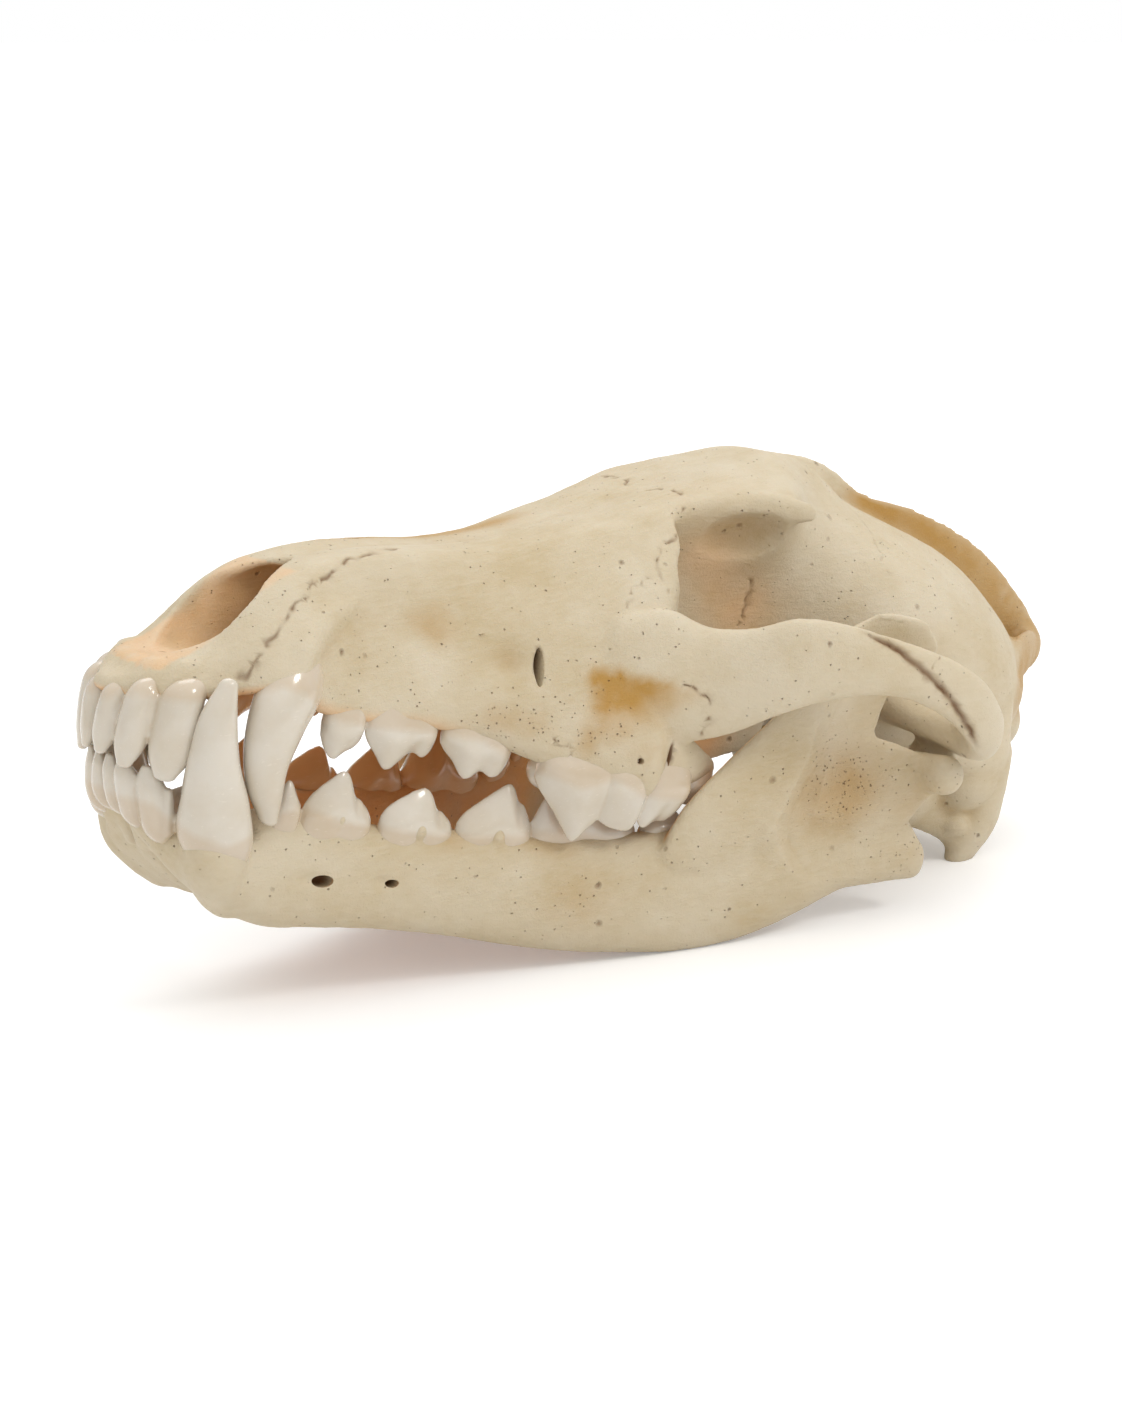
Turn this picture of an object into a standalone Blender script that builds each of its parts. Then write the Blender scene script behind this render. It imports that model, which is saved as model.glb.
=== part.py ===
"""Wolf skull with its lower jaw closed, life size, lying on the jaw and the two jugular processes.

Every form is laid out in the skull's own frame, in millimetres: s runs back from the front of the
upper jaw, y goes to the animal's right, and z rises from the plane of the upper tooth sockets.
rest() then turns the whole skull nose up, sets it on the floor and gives metres.
"""

import math

import bmesh
import bpy
import numpy as np
from mathutils import Matrix

# Driving dimensions, in millimetres unless said otherwise
REST_PITCH = math.radians(16.0)  # nose up, as the closed jaw and jugular processes hold it
FLOOR_Z = -36.3               # floor below the pivot after the turn, cuts small flats on what rests
PIVOT_S = 130.0               # station about which the skull is turned
CENTRE_X = 8.1                # puts the middle of the skull's length over the origin
GAP = 0.3                     # space kept between bones that meet
REACH = 90.0                  # how far the parting blocks reach, past the skull on every side
BONE_VOXEL = 1.6              # size of the voxels that fuse a bone's forms
CRANIUM_FACES = 4300          # triangles left on the whole cranium before it is parted
JAW_FACES = 950               # triangles left on each half of the lower jaw

# Colours, linear
BONE = (0.78, 0.68, 0.50, 1.0)
BONE_WARM = (0.74, 0.62, 0.43, 1.0)
BONE_PALE = (0.80, 0.71, 0.54, 1.0)
BONE_ROUGHNESS = 0.55

SIDES = ((-1, "left"), (1, "right"))

# Upper jaw and nose: s, midline top, nasal ridge, shoulder, side wall, socket edge, palate
ROSTRUM = (
    (0.8, 3.0, (1.4, 2.9), (2.8, 2.2), (3.4, 1.2), (3.0, -0.6), -0.8),
    (3.0, 4.0, (2.4, 4.1), (4.8, 3.8), (6.2, 2.6), (6.2, 0.8), 0.2),
    (7.0, 6.4, (4.8, 7.0), (8.4, 6.6), (10.8, 4.8), (10.8, 1.4), 1.6),
    (13.0, 9.4, (7.2, 10.0), (11.6, 9.4), (15.2, 6.8), (15.6, 2.6), 3.0),
    (19.0, 14.8, (9.4, 15.2), (14.0, 14.0), (17.4, 9.4), (17.2, 3.4), 4.0),
    (24.0, 21.8, (9.2, 22.4), (13.2, 20.8), (20.0, 13.0), (20.8, 5.6), 4.6),
    (30.0, 27.2, (8.0, 27.8), (13.0, 26.0), (21.4, 15.6), (22.8, 7.0), 5.2),
    (38.0, 31.6, (6.2, 32.4), (12.4, 30.0), (20.0, 17.0), (21.4, 4.0), 6.0),
    (48.0, 35.0, (5.4, 35.8), (11.6, 33.2), (18.6, 17.0), (20.2, 2.6), 6.6),
    (60.0, 37.6, (5.2, 38.3), (11.8, 35.6), (19.6, 18.0), (21.4, 3.4), 7.0),
    (77.0, 41.4, (5.6, 42.0), (13.6, 39.4), (23.2, 22.0), (25.4, 3.4), 7.2),
    (90.0, 46.4, (6.6, 47.0), (15.8, 44.6), (27.6, 25.0), (30.6, 0.8), 7.4),
    (100.0, 51.0, (7.8, 51.6), (18.0, 49.0), (31.2, 27.0), (34.6, -1.4), 7.6),
    (108.0, 54.8, (9.0, 55.4), (20.4, 52.4), (33.4, 31.0), (37.6, -0.8), 8.0),
    (115.6, 58.4, (10.6, 59.0), (22.0, 55.6), (32.4, 37.0), (38.4, -1.4), 8.6),
)

# Forehead and braincase: s, midline top, dome, brow or temporal line, side wall, low wall, base
BRAINCASE = (
    (98.0, 48.0, (8.0, 48.6), (14.0, 45.0), (16.0, 34.0), (12.0, 20.0), 16.0),
    (110.0, 56.0, (10.4, 56.6), (20.0, 52.8), (17.4, 38.0), (12.0, 18.0), 15.0),
    (120.0, 60.8, (12.0, 61.6), (21.6, 57.6), (18.2, 40.0), (11.0, 16.0), 13.0),
    (131.0, 65.8, (13.0, 66.4), (23.0, 60.8), (18.2, 40.0), (10.6, 14.0), 13.0),
    (141.0, 70.2, (13.6, 70.6), (27.2, 61.4), (18.0, 41.0), (11.0, 14.0), 14.0),
    (148.0, 72.6, (13.0, 72.2), (29.8, 61.4), (17.8, 42.0), (11.6, 15.0), 15.0),
    (155.0, 74.6, (11.4, 73.6), (23.4, 63.4), (17.6, 43.0), (12.6, 16.0), 16.0),
    (163.0, 75.6, (8.6, 73.8), (18.6, 62.0), (19.6, 42.0), (14.0, 18.0), 17.0),
    (173.0, 75.0, (7.4, 71.0), (20.0, 58.0), (24.8, 40.0), (17.0, 19.0), 16.0),
    (185.0, 69.0, (10.0, 65.6), (25.0, 55.0), (31.4, 38.0), (22.0, 17.0), 14.0),
    (200.0, 65.4, (11.0, 63.4), (27.6, 52.0), (34.0, 35.0), (25.0, 14.0), 12.0),
    (217.0, 61.8, (11.0, 60.0), (26.0, 48.6), (32.6, 32.0), (25.0, 13.0), 10.6),
    (231.0, 56.0, (10.0, 54.6), (22.6, 44.0), (28.6, 29.0), (22.0, 14.0), 11.0),
    (243.0, 48.6, (9.0, 47.6), (18.0, 39.0), (21.6, 28.0), (14.0, 17.0), 15.0),
    (253.0, 43.0, (8.0, 42.0), (14.0, 35.0), (15.0, 28.0), (10.0, 20.0), 18.0),
)

# Swept forms: s, y, lower edge, upper edge, half width
CHEEK_ARCH = (
    (104.0, 30.0, 10.0, 34.0, 4.6),
    (112.0, 34.6, 9.6, 37.6, 4.8),
    (120.0, 39.4, 10.0, 35.8, 4.6),
    (127.0, 46.0, 14.0, 37.6, 4.2),
    (133.0, 52.6, 20.0, 41.8, 3.6),
    (140.0, 58.0, 25.0, 42.8, 3.2),
    (150.0, 62.6, 28.6, 42.0, 3.0),
    (161.0, 65.0, 28.8, 40.8, 3.0),
    (171.0, 66.2, 26.2, 39.0, 3.2),
    (179.0, 66.2, 22.4, 36.0, 3.6),
    (185.4, 64.0, 18.8, 31.6, 4.2),
    (189.6, 58.0, 17.6, 28.0, 5.4),
    (190.6, 50.0, 18.8, 27.4, 7.4),
    (191.0, 41.0, 19.6, 29.0, 9.6),
    (192.0, 30.0, 20.0, 34.0, 11.0),
)
SOCKET_TUBER = (
    (96.0, 29.0, -1.6, 16.0, 5.6),
    (106.0, 32.6, -1.0, 18.0, 6.2),
    (116.0, 33.6, -1.4, 16.0, 6.4),
    (126.0, 33.0, -0.6, 11.0, 6.0),
    (132.0, 32.6, 1.6, 8.0, 4.4),
)
SAGITTAL_CREST = (
    (163.0, 0.0, 62.0, 75.8, 5.0),
    (176.0, 0.0, 60.0, 76.4, 3.2),
    (184.0, 0.0, 58.0, 75.0, 2.4),
    (192.0, 0.0, 54.0, 71.8, 2.0),
    (206.0, 0.0, 52.0, 70.8, 1.9),
    (220.0, 0.0, 48.0, 69.4, 1.9),
    (234.0, 0.0, 44.0, 66.2, 2.0),
    (245.0, 0.0, 40.0, 62.0, 2.2),
    (254.0, 0.0, 36.0, 56.8, 2.6),
    (260.0, 0.0, 34.0, 53.0, 3.2),
    (264.6, 0.0, 36.0, 48.4, 4.4),
)
NUCHAL_CREST = (
    (265.0, 0.0, 38.0, 47.4, 3.0),
    (258.6, 7.0, 34.6, 47.0, 2.6),
    (248.0, 15.0, 28.6, 44.6, 2.6),
    (239.0, 22.0, 22.0, 38.6, 3.0),
    (232.0, 27.6, 14.0, 31.0, 3.6),
    (225.6, 31.0, 8.0, 24.0, 4.4),
    (217.0, 32.8, 10.0, 22.0, 4.0),
    (206.0, 33.6, 14.0, 24.0, 3.6),
)
PTERYGOID = (
    (112.0, 9.6, 4.0, 20.0, 3.0),
    (126.0, 10.6, 2.4, 22.0, 2.2),
    (142.0, 11.0, 3.4, 24.0, 1.9),
    (156.0, 11.2, 5.4, 24.0, 1.9),
    (166.0, 11.6, 7.4, 22.0, 2.4),
)
SKULL_BASE = (
    (150.0, 0.0, 16.0, 28.0, 9.0),
    (180.0, 0.0, 12.0, 26.0, 12.0),
    (205.0, 0.0, 8.6, 24.0, 12.0),
    (228.0, 0.0, 8.0, 22.0, 14.0),
    (246.0, 0.0, 11.0, 24.0, 15.0),
)
JAW_BODY = (
    (11.0, 2.6, -25.0, -21.2, 2.2),
    (13.4, 4.4, -28.0, -21.6, 4.2),
    (17.4, 6.4, -31.6, -22.0, 6.2),
    (22.0, 8.6, -35.6, -22.6, 8.4),
    (27.6, 10.2, -39.0, -22.2, 9.9),
    (34.0, 11.0, -41.6, -20.0, 9.4),
    (41.0, 12.6, -43.0, -17.6, 7.6),
    (51.0, 15.6, -42.0, -18.4, 5.9),
    (67.0, 18.4, -40.6, -18.6, 5.4),
    (80.0, 20.8, -40.2, -17.2, 5.4),
    (94.0, 24.0, -40.6, -16.4, 5.6),
    (108.0, 27.8, -40.2, -14.0, 5.6),
    (123.0, 32.0, -38.6, -11.0, 5.4),
    (137.0, 36.2, -36.0, -4.0, 5.0),
    (148.0, 39.4, -32.0, 2.0, 4.4),
    (159.0, 42.0, -26.0, 6.0, 3.8),
    (168.0, 44.0, -20.0, 6.0, 3.4),
    (175.0, 45.6, -15.4, 2.0, 2.8),
)
SYMPHYSIS = (
    (13.4, 2.6, -27.0, -21.8, 3.2),
    (20.0, 3.6, -33.0, -22.0, 4.4),
    (28.0, 4.4, -38.4, -24.0, 5.2),
    (38.0, 5.0, -41.4, -28.0, 5.6),
    (50.0, 5.8, -40.6, -32.0, 4.8),
)
ANGULAR_PROCESS = (
    (158.0, 42.0, -24.0, -12.0, 3.4),
    (170.0, 44.6, -18.0, -6.0, 3.4),
    (180.0, 46.6, -13.4, -3.6, 3.2),
    (187.4, 48.0, -11.0, -4.0, 2.6),
)
CONDYLE_NECK = (
    (158.0, 45.0, -2.0, 16.0, 3.2),
    (168.0, 46.6, 2.0, 17.0, 3.2),
    (177.0, 47.6, 4.0, 15.6, 4.0),
    (184.0, 48.0, 8.0, 15.6, 5.0),
)
# Coronoid process, swept upward: z, front s, rear s, y at the front, y at the rear, half thickness
CORONOID = (
    (-16.0, 124.0, 168.0, 34.0, 43.0, 4.0),
    (-4.0, 126.4, 172.0, 38.4, 44.6, 3.6),
    (8.0, 131.0, 172.0, 41.0, 46.0, 3.0),
    (20.0, 135.6, 170.0, 43.0, 47.4, 2.6),
    (30.0, 140.0, 171.6, 44.8, 48.6, 2.3),
    (39.0, 144.6, 178.6, 46.4, 49.8, 2.1),
    (45.0, 149.4, 179.4, 47.6, 50.4, 2.0),
    (49.0, 157.0, 174.6, 48.8, 50.4, 1.8),
)
CONDYLE = ((184.6, 38.0, 11.0), (185.6, 55.6, 13.0), 4.6)   # roller ends and radius
CONDYLE_WALL = 0.35           # room between the roller and the socket in the skull
BULLA = ((207.0, 21.0, 5.6), (14.0, 9.6, 11.4))             # centre and half sizes
OCCIPITAL_CONDYLE = ((250.0, 10.6, 23.0), (8.4, 5.6, 8.0))
POSTGLENOID = ((192.4, 44.0, 14.4), (2.6, 8.0, 7.0))
MASTOID = ((221.0, 30.0, 11.0), (8.6, 6.0, 9.0))
JUGULAR_PROCESS = ((226.0, 27.6, 18.0), (226.4, 28.6, 6.0), (225.4, 28.0, -4.0),
                   (225.0, 27.8, -10.4))
JUGULAR_RADII = ((9.0, 6.0), (6.6, 4.8), (5.2, 4.0), (4.6, 3.4))    # along s and across
JUGULAR_WEB = ((212.0, 24.0, 3.0), (219.0, 26.0, 0.0), (225.0, 27.6, -3.4))  # ties it to the bulla
JUGULAR_WEB_RADII = ((7.4, 4.6), (6.0, 3.6), (5.4, 3.2))
POSTORBITAL = ((138.0, 23.0, 64.4), (144.6, 28.0, 62.6), (149.0, 31.6, 60.8))
POSTORBITAL_RADII = ((6.0, 3.4), (4.0, 2.6), (2.0, 1.8))
CANINE_JUGUM = ((46.0, 13.0, 25.6), (37.0, 16.4, 19.0), (30.6, 18.8, 12.6))
CANINE_JUGUM_RADII = ((3.0, 3.0), (5.4, 4.0), (6.4, 5.6))
ORBIT = ((131.6, 36.6, 49.4), (20.5, 18.4, 12.8))           # centre and half sizes of the hollow
ORBIT_LEAN = 0.4              # how far it leans back for each millimetre of height
CANINE_SEAT = ((23.8, 17.0, -30.2), (27.2, 14.8, -33.8), (32.0, 11.6, -37.6))  # bone round the root
CANINE_SEAT_RADII = ((6.6, 6.3), (6.4, 6.0), (5.0, 5.0))

# Teeth. Cheek roots run ROOT_SHARE of the crown's height into the bone, incisor roots lean back
ROOT_SHARE = 0.45
INCISOR_ROOT = (3.6, 2.6)     # back, and into the bone, from the neck
# Incisors: s, y, neck z, tip s, tip z, width along the row, depth, turn of the row in degrees
UPPER_INCISORS = (
    (2.8, 2.9, -0.8, 1.8, -12.3, 5.8, 5.8, 66.0),
    (5.6, 8.5, 0.6, 4.4, -13.6, 7.0, 6.8, 52.0),
    (11.0, 14.6, 2.2, 10.2, -14.6, 8.4, 6.6, 38.0),
)
LOWER_INCISORS = (
    (8.4, 2.3, -21.4, 4.8, -13.2, 4.5, 5.2, 66.0),
    (10.0, 6.4, -22.6, 5.6, -13.4, 5.7, 5.8, 52.0),
    (13.6, 11.0, -24.6, 8.8, -13.2, 6.8, 5.8, 44.0),
)
# Canines: centre line points from the root to the tip, with half length and half breadth there
UPPER_CANINE = (
    ((34.0, 17.6, 15.0), 4.6, 3.4),
    ((31.2, 20.6, 7.0), 7.2, 4.9),
    ((28.6, 22.0, -1.0), 6.2, 4.6),
    ((28.2, 22.0, -8.0), 4.9, 3.8),
    ((29.6, 21.6, -14.0), 3.8, 3.0),
    ((31.8, 21.2, -19.0), 2.0, 1.8),
)
LOWER_CANINE = (
    ((28.0, 14.6, -33.0), 5.0, 4.0),
    ((22.6, 17.9, -25.0), 7.9, 5.2),
    ((20.1, 19.4, -17.0), 7.0, 4.7),
    ((17.2, 20.2, -8.0), 5.1, 3.8),
    ((16.1, 20.6, 0.0), 3.6, 2.8),
    ((16.6, 20.8, 6.2), 1.8, 1.6),
)
LOWER_CANINE_TURN = 26.0      # degrees by which its long axis turns in at the front
# Premolars: front s, rear s, y in front, y behind, neck z, tip z, breadth, rear cusps
UPPER_PREMOLARS = (
    (42.0, 50.6, 19.2, 19.6, 2.0, -5.4, 5.2, 0),
    (52.4, 68.0, 19.8, 20.8, 2.4, -6.6, 6.0, 1),
    (70.4, 85.6, 21.8, 24.8, 2.6, -6.0, 6.8, 1),
)
LOWER_PREMOLARS = (
    (36.2, 41.2, 16.6, 17.2, -17.4, -10.8, 4.4, 0),
    (43.2, 57.8, 17.6, 18.8, -18.6, -8.0, 5.8, 2),
    (61.2, 77.2, 19.4, 21.2, -19.0, -9.2, 6.4, 2),
    (79.4, 95.8, 21.6, 24.6, -18.4, -6.0, 7.0, 2),
)
# Cusps of the cheek teeth: base (s, y, z), tip (s, y, z), half length, half breadth
UPPER_CARNASSIAL = (
    ((99.0, 32.6, 0.0), (101.2, 34.6, -15.0), 8.6, 4.6),
    ((108.6, 35.4, 0.0), (111.4, 36.8, -10.4), 6.4, 4.2),
    ((93.4, 28.0, 1.0), (93.2, 27.6, -4.6), 4.6, 4.6),
)
UPPER_MOLARS = (
    ((117.0, 34.6, 1.0), (115.0, 37.0, -11.6), 5.2, 4.6),
    ((123.6, 34.0, 1.0), (122.4, 36.2, -8.6), 4.6, 4.2),
    ((119.6, 26.4, 2.0), (119.6, 25.6, -5.0), 5.4, 7.4),
    ((130.6, 32.6, 1.0), (130.4, 34.0, -5.2), 3.8, 4.4),
    ((130.4, 27.4, 2.0), (130.4, 26.8, -3.4), 3.6, 4.6),
)
LOWER_CARNASSIAL = (
    ((106.0, 26.2, -15.6), (105.6, 26.6, -2.4), 6.8, 4.4),
    ((99.6, 24.6, -16.4), (99.0, 25.2, -6.4), 5.2, 3.8),
    ((116.0, 28.4, -13.6), (116.4, 28.4, -8.4), 6.4, 4.8),
)
LOWER_MOLARS = (
    ((127.0, 31.4, -10.4), (127.0, 31.4, -7.0), 4.8, 3.8),
    ((134.0, 33.6, -6.6), (134.0, 33.6, -3.8), 2.6, 2.6),
)

# Cuts
NOSE_CAVITY = (               # s, half width, floor, roof
    (4.6, 1.6, 6.2, 22.0),
    (8.0, 4.6, 8.0, 30.0),
    (13.0, 7.4, 8.6, 34.0),
    (19.0, 10.4, 9.0, 38.0),
    (24.0, 10.2, 9.4, 40.0),
    (28.0, 8.6, 9.8, 28.4),
    (36.0, 8.4, 10.6, 29.6),
    (46.0, 8.0, 12.0, 30.0),
    (58.0, 5.0, 16.0, 27.0),
)
NOSE_NOTCH = ((24.0, 11.0), (31.0, 5.6), (38.0, 0.8))       # s and half width between the nasals
FORAMEN_MAGNUM = ((262.0, 0.0, 29.0), (26.0, 9.0, 7.4))
INFRAORBITAL = ((87.0, 26.4, 20.2), (2.2, 5.0, 5.2))          # centre and half sizes of the slit
CANINE_ROOM = 0.5             # room between the lower canines and the upper jaw
CUT_SLOPE = 0.5               # the face parts from the braincase along s = CUT_BASE - slope * z
CUT_BASE = 134.0
ARCH_FRONT_S = 116.0          # the cheek arches part from the face behind this station
ARCH_INNER_Y = 36.0           # and from the skull outside this width
ARCH_LOW_Z = 7.4              # and above this height
ARCH_REAR_S, ARCH_OUTER_Y, ARCH_TOP_Z = 201.0, 80.0, 60.0   # far corner of the arches' block


def rest(points):
    """Take skull-frame millimetres to metres on the floor, nose up by REST_PITCH."""
    s, y, z = (np.asarray(points, dtype=float)[..., i] for i in range(3))
    c, k = math.cos(REST_PITCH), math.sin(REST_PITCH)
    x = (s - PIVOT_S) * c + z * k - CENTRE_X
    up = -(s - PIVOT_S) * k + z * c - FLOOR_Z
    return np.stack([x, y, up], axis=-1) * 0.001


def along(knots, values, at):
    """Smooth curve through values at uneven knots, by cubic Hermite spans."""
    knots, values = np.asarray(knots, float), np.asarray(values, float)
    step = np.diff(knots)[:, None]
    flat = values.reshape(len(knots), -1)
    slope = np.diff(flat, axis=0) / step
    tangent = np.vstack([slope[:1], (slope[:-1] * step[1:] + slope[1:] * step[:-1]) / (step[1:] + step[:-1]),
                         slope[-1:]])
    i = np.clip(np.searchsorted(knots, at, side="right") - 1, 0, len(knots) - 2)
    h = step[i]
    t = ((at - knots[i]) / h[:, 0])[:, None]
    out = ((2 * t**3 - 3 * t**2 + 1) * flat[i] + (t**3 - 2 * t**2 + t) * h * tangent[i]
           + (3 * t**2 - 2 * t**3) * flat[i + 1] + (t**3 - t**2) * h * tangent[i + 1])
    return out.reshape((len(at),) + values.shape[1:])


def around(points, per_span):
    """Closed smooth rings through each row's control points."""
    before, after = np.roll(points, 1, axis=1), np.roll(points, -1, axis=1)
    after2 = np.roll(points, -2, axis=1)
    t = (np.arange(per_span) / per_span)[None, None, :, None]
    p0, p1, p2, p3 = (p[:, :, None, :] for p in (before, points, after, after2))
    ring = 0.5 * (2 * p1 + (p2 - p0) * t + (2 * p0 - 5 * p1 + 4 * p2 - p3) * t**2
                  + (3 * p1 - p0 - 3 * p2 + p3) * t**3)
    return ring.reshape(points.shape[0], -1, points.shape[-1])


def mesh_object(name, rings):
    """Closed mesh from a stack of rings, with a flat fan at each end."""
    count, sides = rings.shape[:2]
    mesh = bpy.data.meshes.new(name)
    work = bmesh.new()
    verts = [[work.verts.new(p) for p in row] for row in rest(rings)]
    for a, b in zip(verts[:-1], verts[1:]):
        for i in range(sides):
            j = (i + 1) % sides
            work.faces.new((a[i], a[j], b[j], b[i]))
    work.faces.new(verts[0][::-1])
    work.faces.new(verts[count - 1])
    bmesh.ops.triangulate(work, faces=work.faces)
    bmesh.ops.recalc_face_normals(work, faces=work.faces)
    work.to_mesh(mesh)
    work.free()
    obj = bpy.data.objects.new(name, mesh)
    bpy.context.scene.collection.objects.link(obj)
    return obj


def domed(rings, front, rear, steps=(2, 2)):
    """Round off both ends of a stack of rings, reaching front and rear millimetres further."""
    def cap(ring, towards, reach, count):
        middle = ring.mean(axis=0)
        angles = np.linspace(0, math.pi / 2, count + 2)[1:-1]
        return [middle + (ring - middle) * math.cos(a) + towards * reach * math.sin(a) for a in angles]
    direction = rings.mean(axis=1)
    ahead = direction[0] - direction[1]
    behind = direction[-1] - direction[-2]
    ahead, behind = ahead / np.linalg.norm(ahead), behind / np.linalg.norm(behind)
    return np.array(cap(rings[0], ahead, front, steps[0])[::-1] + list(rings)
                    + cap(rings[-1], behind, rear, steps[1]))


def lofted(name, stations, rows, per_span, front, rear):
    """Body lofted through stations of (s, top, four side points, base), alike on both sides."""
    s = np.array([row[0] for row in stations])
    half = np.array([[(0.0, row[1]), *row[2:6], (0.0, row[6])] for row in stations])
    at = np.linspace(s[0], s[-1], rows)
    half = along(s, half, at)
    mirrored = half[:, -2:0:-1] * np.array([-1.0, 1.0])
    ring = around(np.concatenate([half, mirrored], axis=1), per_span)
    station = np.broadcast_to(at[:, None, None], ring.shape[:2] + (1,))
    return mesh_object(name, domed(np.concatenate([station, ring], axis=2), front, rear))


def swept(name, centres, tall, wide, up=(0.0, 0.0, 1.0), rows=14, sides=10, cap=0.8, square=1.0,
          steps=(2, 2)):
    """Oval tube through centres, with half sizes tall along up and wide across the path."""
    centres = np.asarray(centres, float)
    run = np.concatenate([[0.0], np.cumsum(np.linalg.norm(np.diff(centres, axis=0), axis=1))])
    at = np.linspace(0.0, run[-1], rows)
    path = along(run, centres, at)
    tall = along(run, np.asarray(tall, float)[:, None], at)
    wide = along(run, np.asarray(wide, float)[:, None], at)
    up = np.asarray(up, float)
    across = np.cross(np.gradient(path, axis=0), up)
    across /= np.linalg.norm(across, axis=1)[:, None]
    angle = np.arange(sides) * 2 * math.pi / sides
    c = np.sign(np.cos(angle)) * np.abs(np.cos(angle)) ** square
    k = np.sign(np.sin(angle)) * np.abs(np.sin(angle)) ** square
    rings = (path[:, None, :] + (tall * c)[..., None] * up + (wide * k)[..., None] * across[:, None, :])
    return mesh_object(name, domed(rings, wide[0, 0] * cap, wide[-1, 0] * cap, steps))


def plate(name, rows_of, side=1, rows=14, sides=10, square=0.8):
    """Sweep a table of (s, y, lower edge, upper edge, half width) on one side of the skull."""
    centres = [(s, side * y, (low + high) / 2) for s, y, low, high, _ in rows_of]
    tall = [(high - low) / 2 for _, _, low, high, _ in rows_of]
    wide = [half for *_, half in rows_of]
    return swept(name, centres, tall, wide, rows=rows, sides=sides, square=square)


def ball(name, centre, radii, side=1, lean=0.0, rows=8, sides=12):
    """Egg with half sizes along s, y and z, leaning back by lean for each millimetre of height."""
    angle = np.linspace(0.12, math.pi - 0.12, rows)
    turn = np.arange(sides) * 2 * math.pi / sides
    s = -np.cos(angle)[:, None] * np.ones(sides)
    y = np.sin(angle)[:, None] * np.cos(turn)
    z = np.sin(angle)[:, None] * np.sin(turn)
    rings = np.stack([s, y, z], axis=2) * radii
    rings[..., 0] += lean * rings[..., 2]
    return mesh_object(name, rings + np.array(centre) * (1, side, 1))


def rod(name, points, radii, side=1, up=(1.0, 0.0, 0.0), rows=8, sides=10):
    """Tapering rod through points, with (tall, wide) or round radii at each."""
    points = np.array(points, float) * (1, side, 1)
    pairs = [r if isinstance(r, tuple) else (r, r) for r in radii]
    return swept(name, points, [p[0] for p in pairs], [p[1] for p in pairs], up=up, rows=rows, sides=sides)


def fuse(name, objects, voxel, smooth, faces):
    """Fuse overlapping closed forms into one skin with soft junctions and few faces."""
    bpy.ops.object.select_all(action="DESELECT")
    for obj in objects:
        obj.select_set(True)
    bpy.context.view_layer.objects.active = objects[0]
    bpy.ops.object.join()
    whole = bpy.context.view_layer.objects.active
    whole.name = name
    remesh = whole.modifiers.new("fuse", "REMESH")
    remesh.mode = "VOXEL"
    remesh.voxel_size = voxel * 0.001
    soften = whole.modifiers.new("soften", "SMOOTH")
    soften.factor = 0.5
    soften.iterations = smooth
    apply_all(whole)
    if faces:
        thin_to(whole, faces)
    keep_largest(whole)
    return whole


def thin_to(obj, faces):
    """Collapse edges until about this many triangles are left."""
    thin = obj.modifiers.new("thin", "DECIMATE")
    thin.ratio = faces / sum(len(face.vertices) - 2 for face in obj.data.polygons)
    apply_all(obj)


def apply_all(obj):
    """Replace the mesh by what its modifiers make of it."""
    graph = bpy.context.evaluated_depsgraph_get()
    mesh = bpy.data.meshes.new_from_object(obj.evaluated_get(graph))
    obj.modifiers.clear()
    old, obj.data = obj.data, mesh
    bpy.data.meshes.remove(old)


def keep_largest(obj):
    """Keep the closed surface with the most faces, so that sealed hollows and scraps go."""
    work = bmesh.new()
    work.from_mesh(obj.data)
    bmesh.ops.triangulate(work, faces=work.faces)
    left, groups = set(work.verts), []
    while left:
        stack, group = [left.pop()], []
        while stack:
            vert = stack.pop()
            group.append(vert)
            for edge in vert.link_edges:
                other = edge.other_vert(vert)
                if other in left:
                    left.discard(other)
                    stack.append(other)
        groups.append(group)
    groups.sort(key=len, reverse=True)
    for group in groups[1:]:
        bmesh.ops.delete(work, geom=group, context="VERTS")
    bmesh.ops.recalc_face_normals(work, faces=work.faces)
    work.to_mesh(obj.data)
    work.free()


def boolean(obj, other, operation, solver="EXACT"):
    """Cut or keep obj by another object or by a collection, then remove what cut it."""
    step = obj.modifiers.new(operation.lower(), "BOOLEAN")
    step.operation = operation
    step.solver = solver
    if isinstance(other, bpy.types.Collection):
        step.operand_type = "COLLECTION"
        step.collection = other
        helpers = list(other.objects)
    else:
        step.object = other
        helpers = [other]
    apply_all(obj)
    for helper in helpers:
        bpy.data.objects.remove(helper)
    keep_largest(obj)


def block(name, low, high, lean=0.0):
    """Box between two corners of the skull frame; lean slides it along s as z rises."""
    corners = [[(low[0], low[1]), (high[0], low[1]), (high[0], high[1]), (low[0], high[1])]]
    rings = []
    for z in (low[2], high[2]):
        rings.append([(s - lean * z, y, z) for s, y in corners[0]])
    return mesh_object(name, np.array(rings, float))


def copy_of(obj, name):
    """Second object with its own copy of the mesh."""
    twin = bpy.data.objects.new(name, obj.data.copy())
    bpy.context.scene.collection.objects.link(twin)
    return twin


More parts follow.
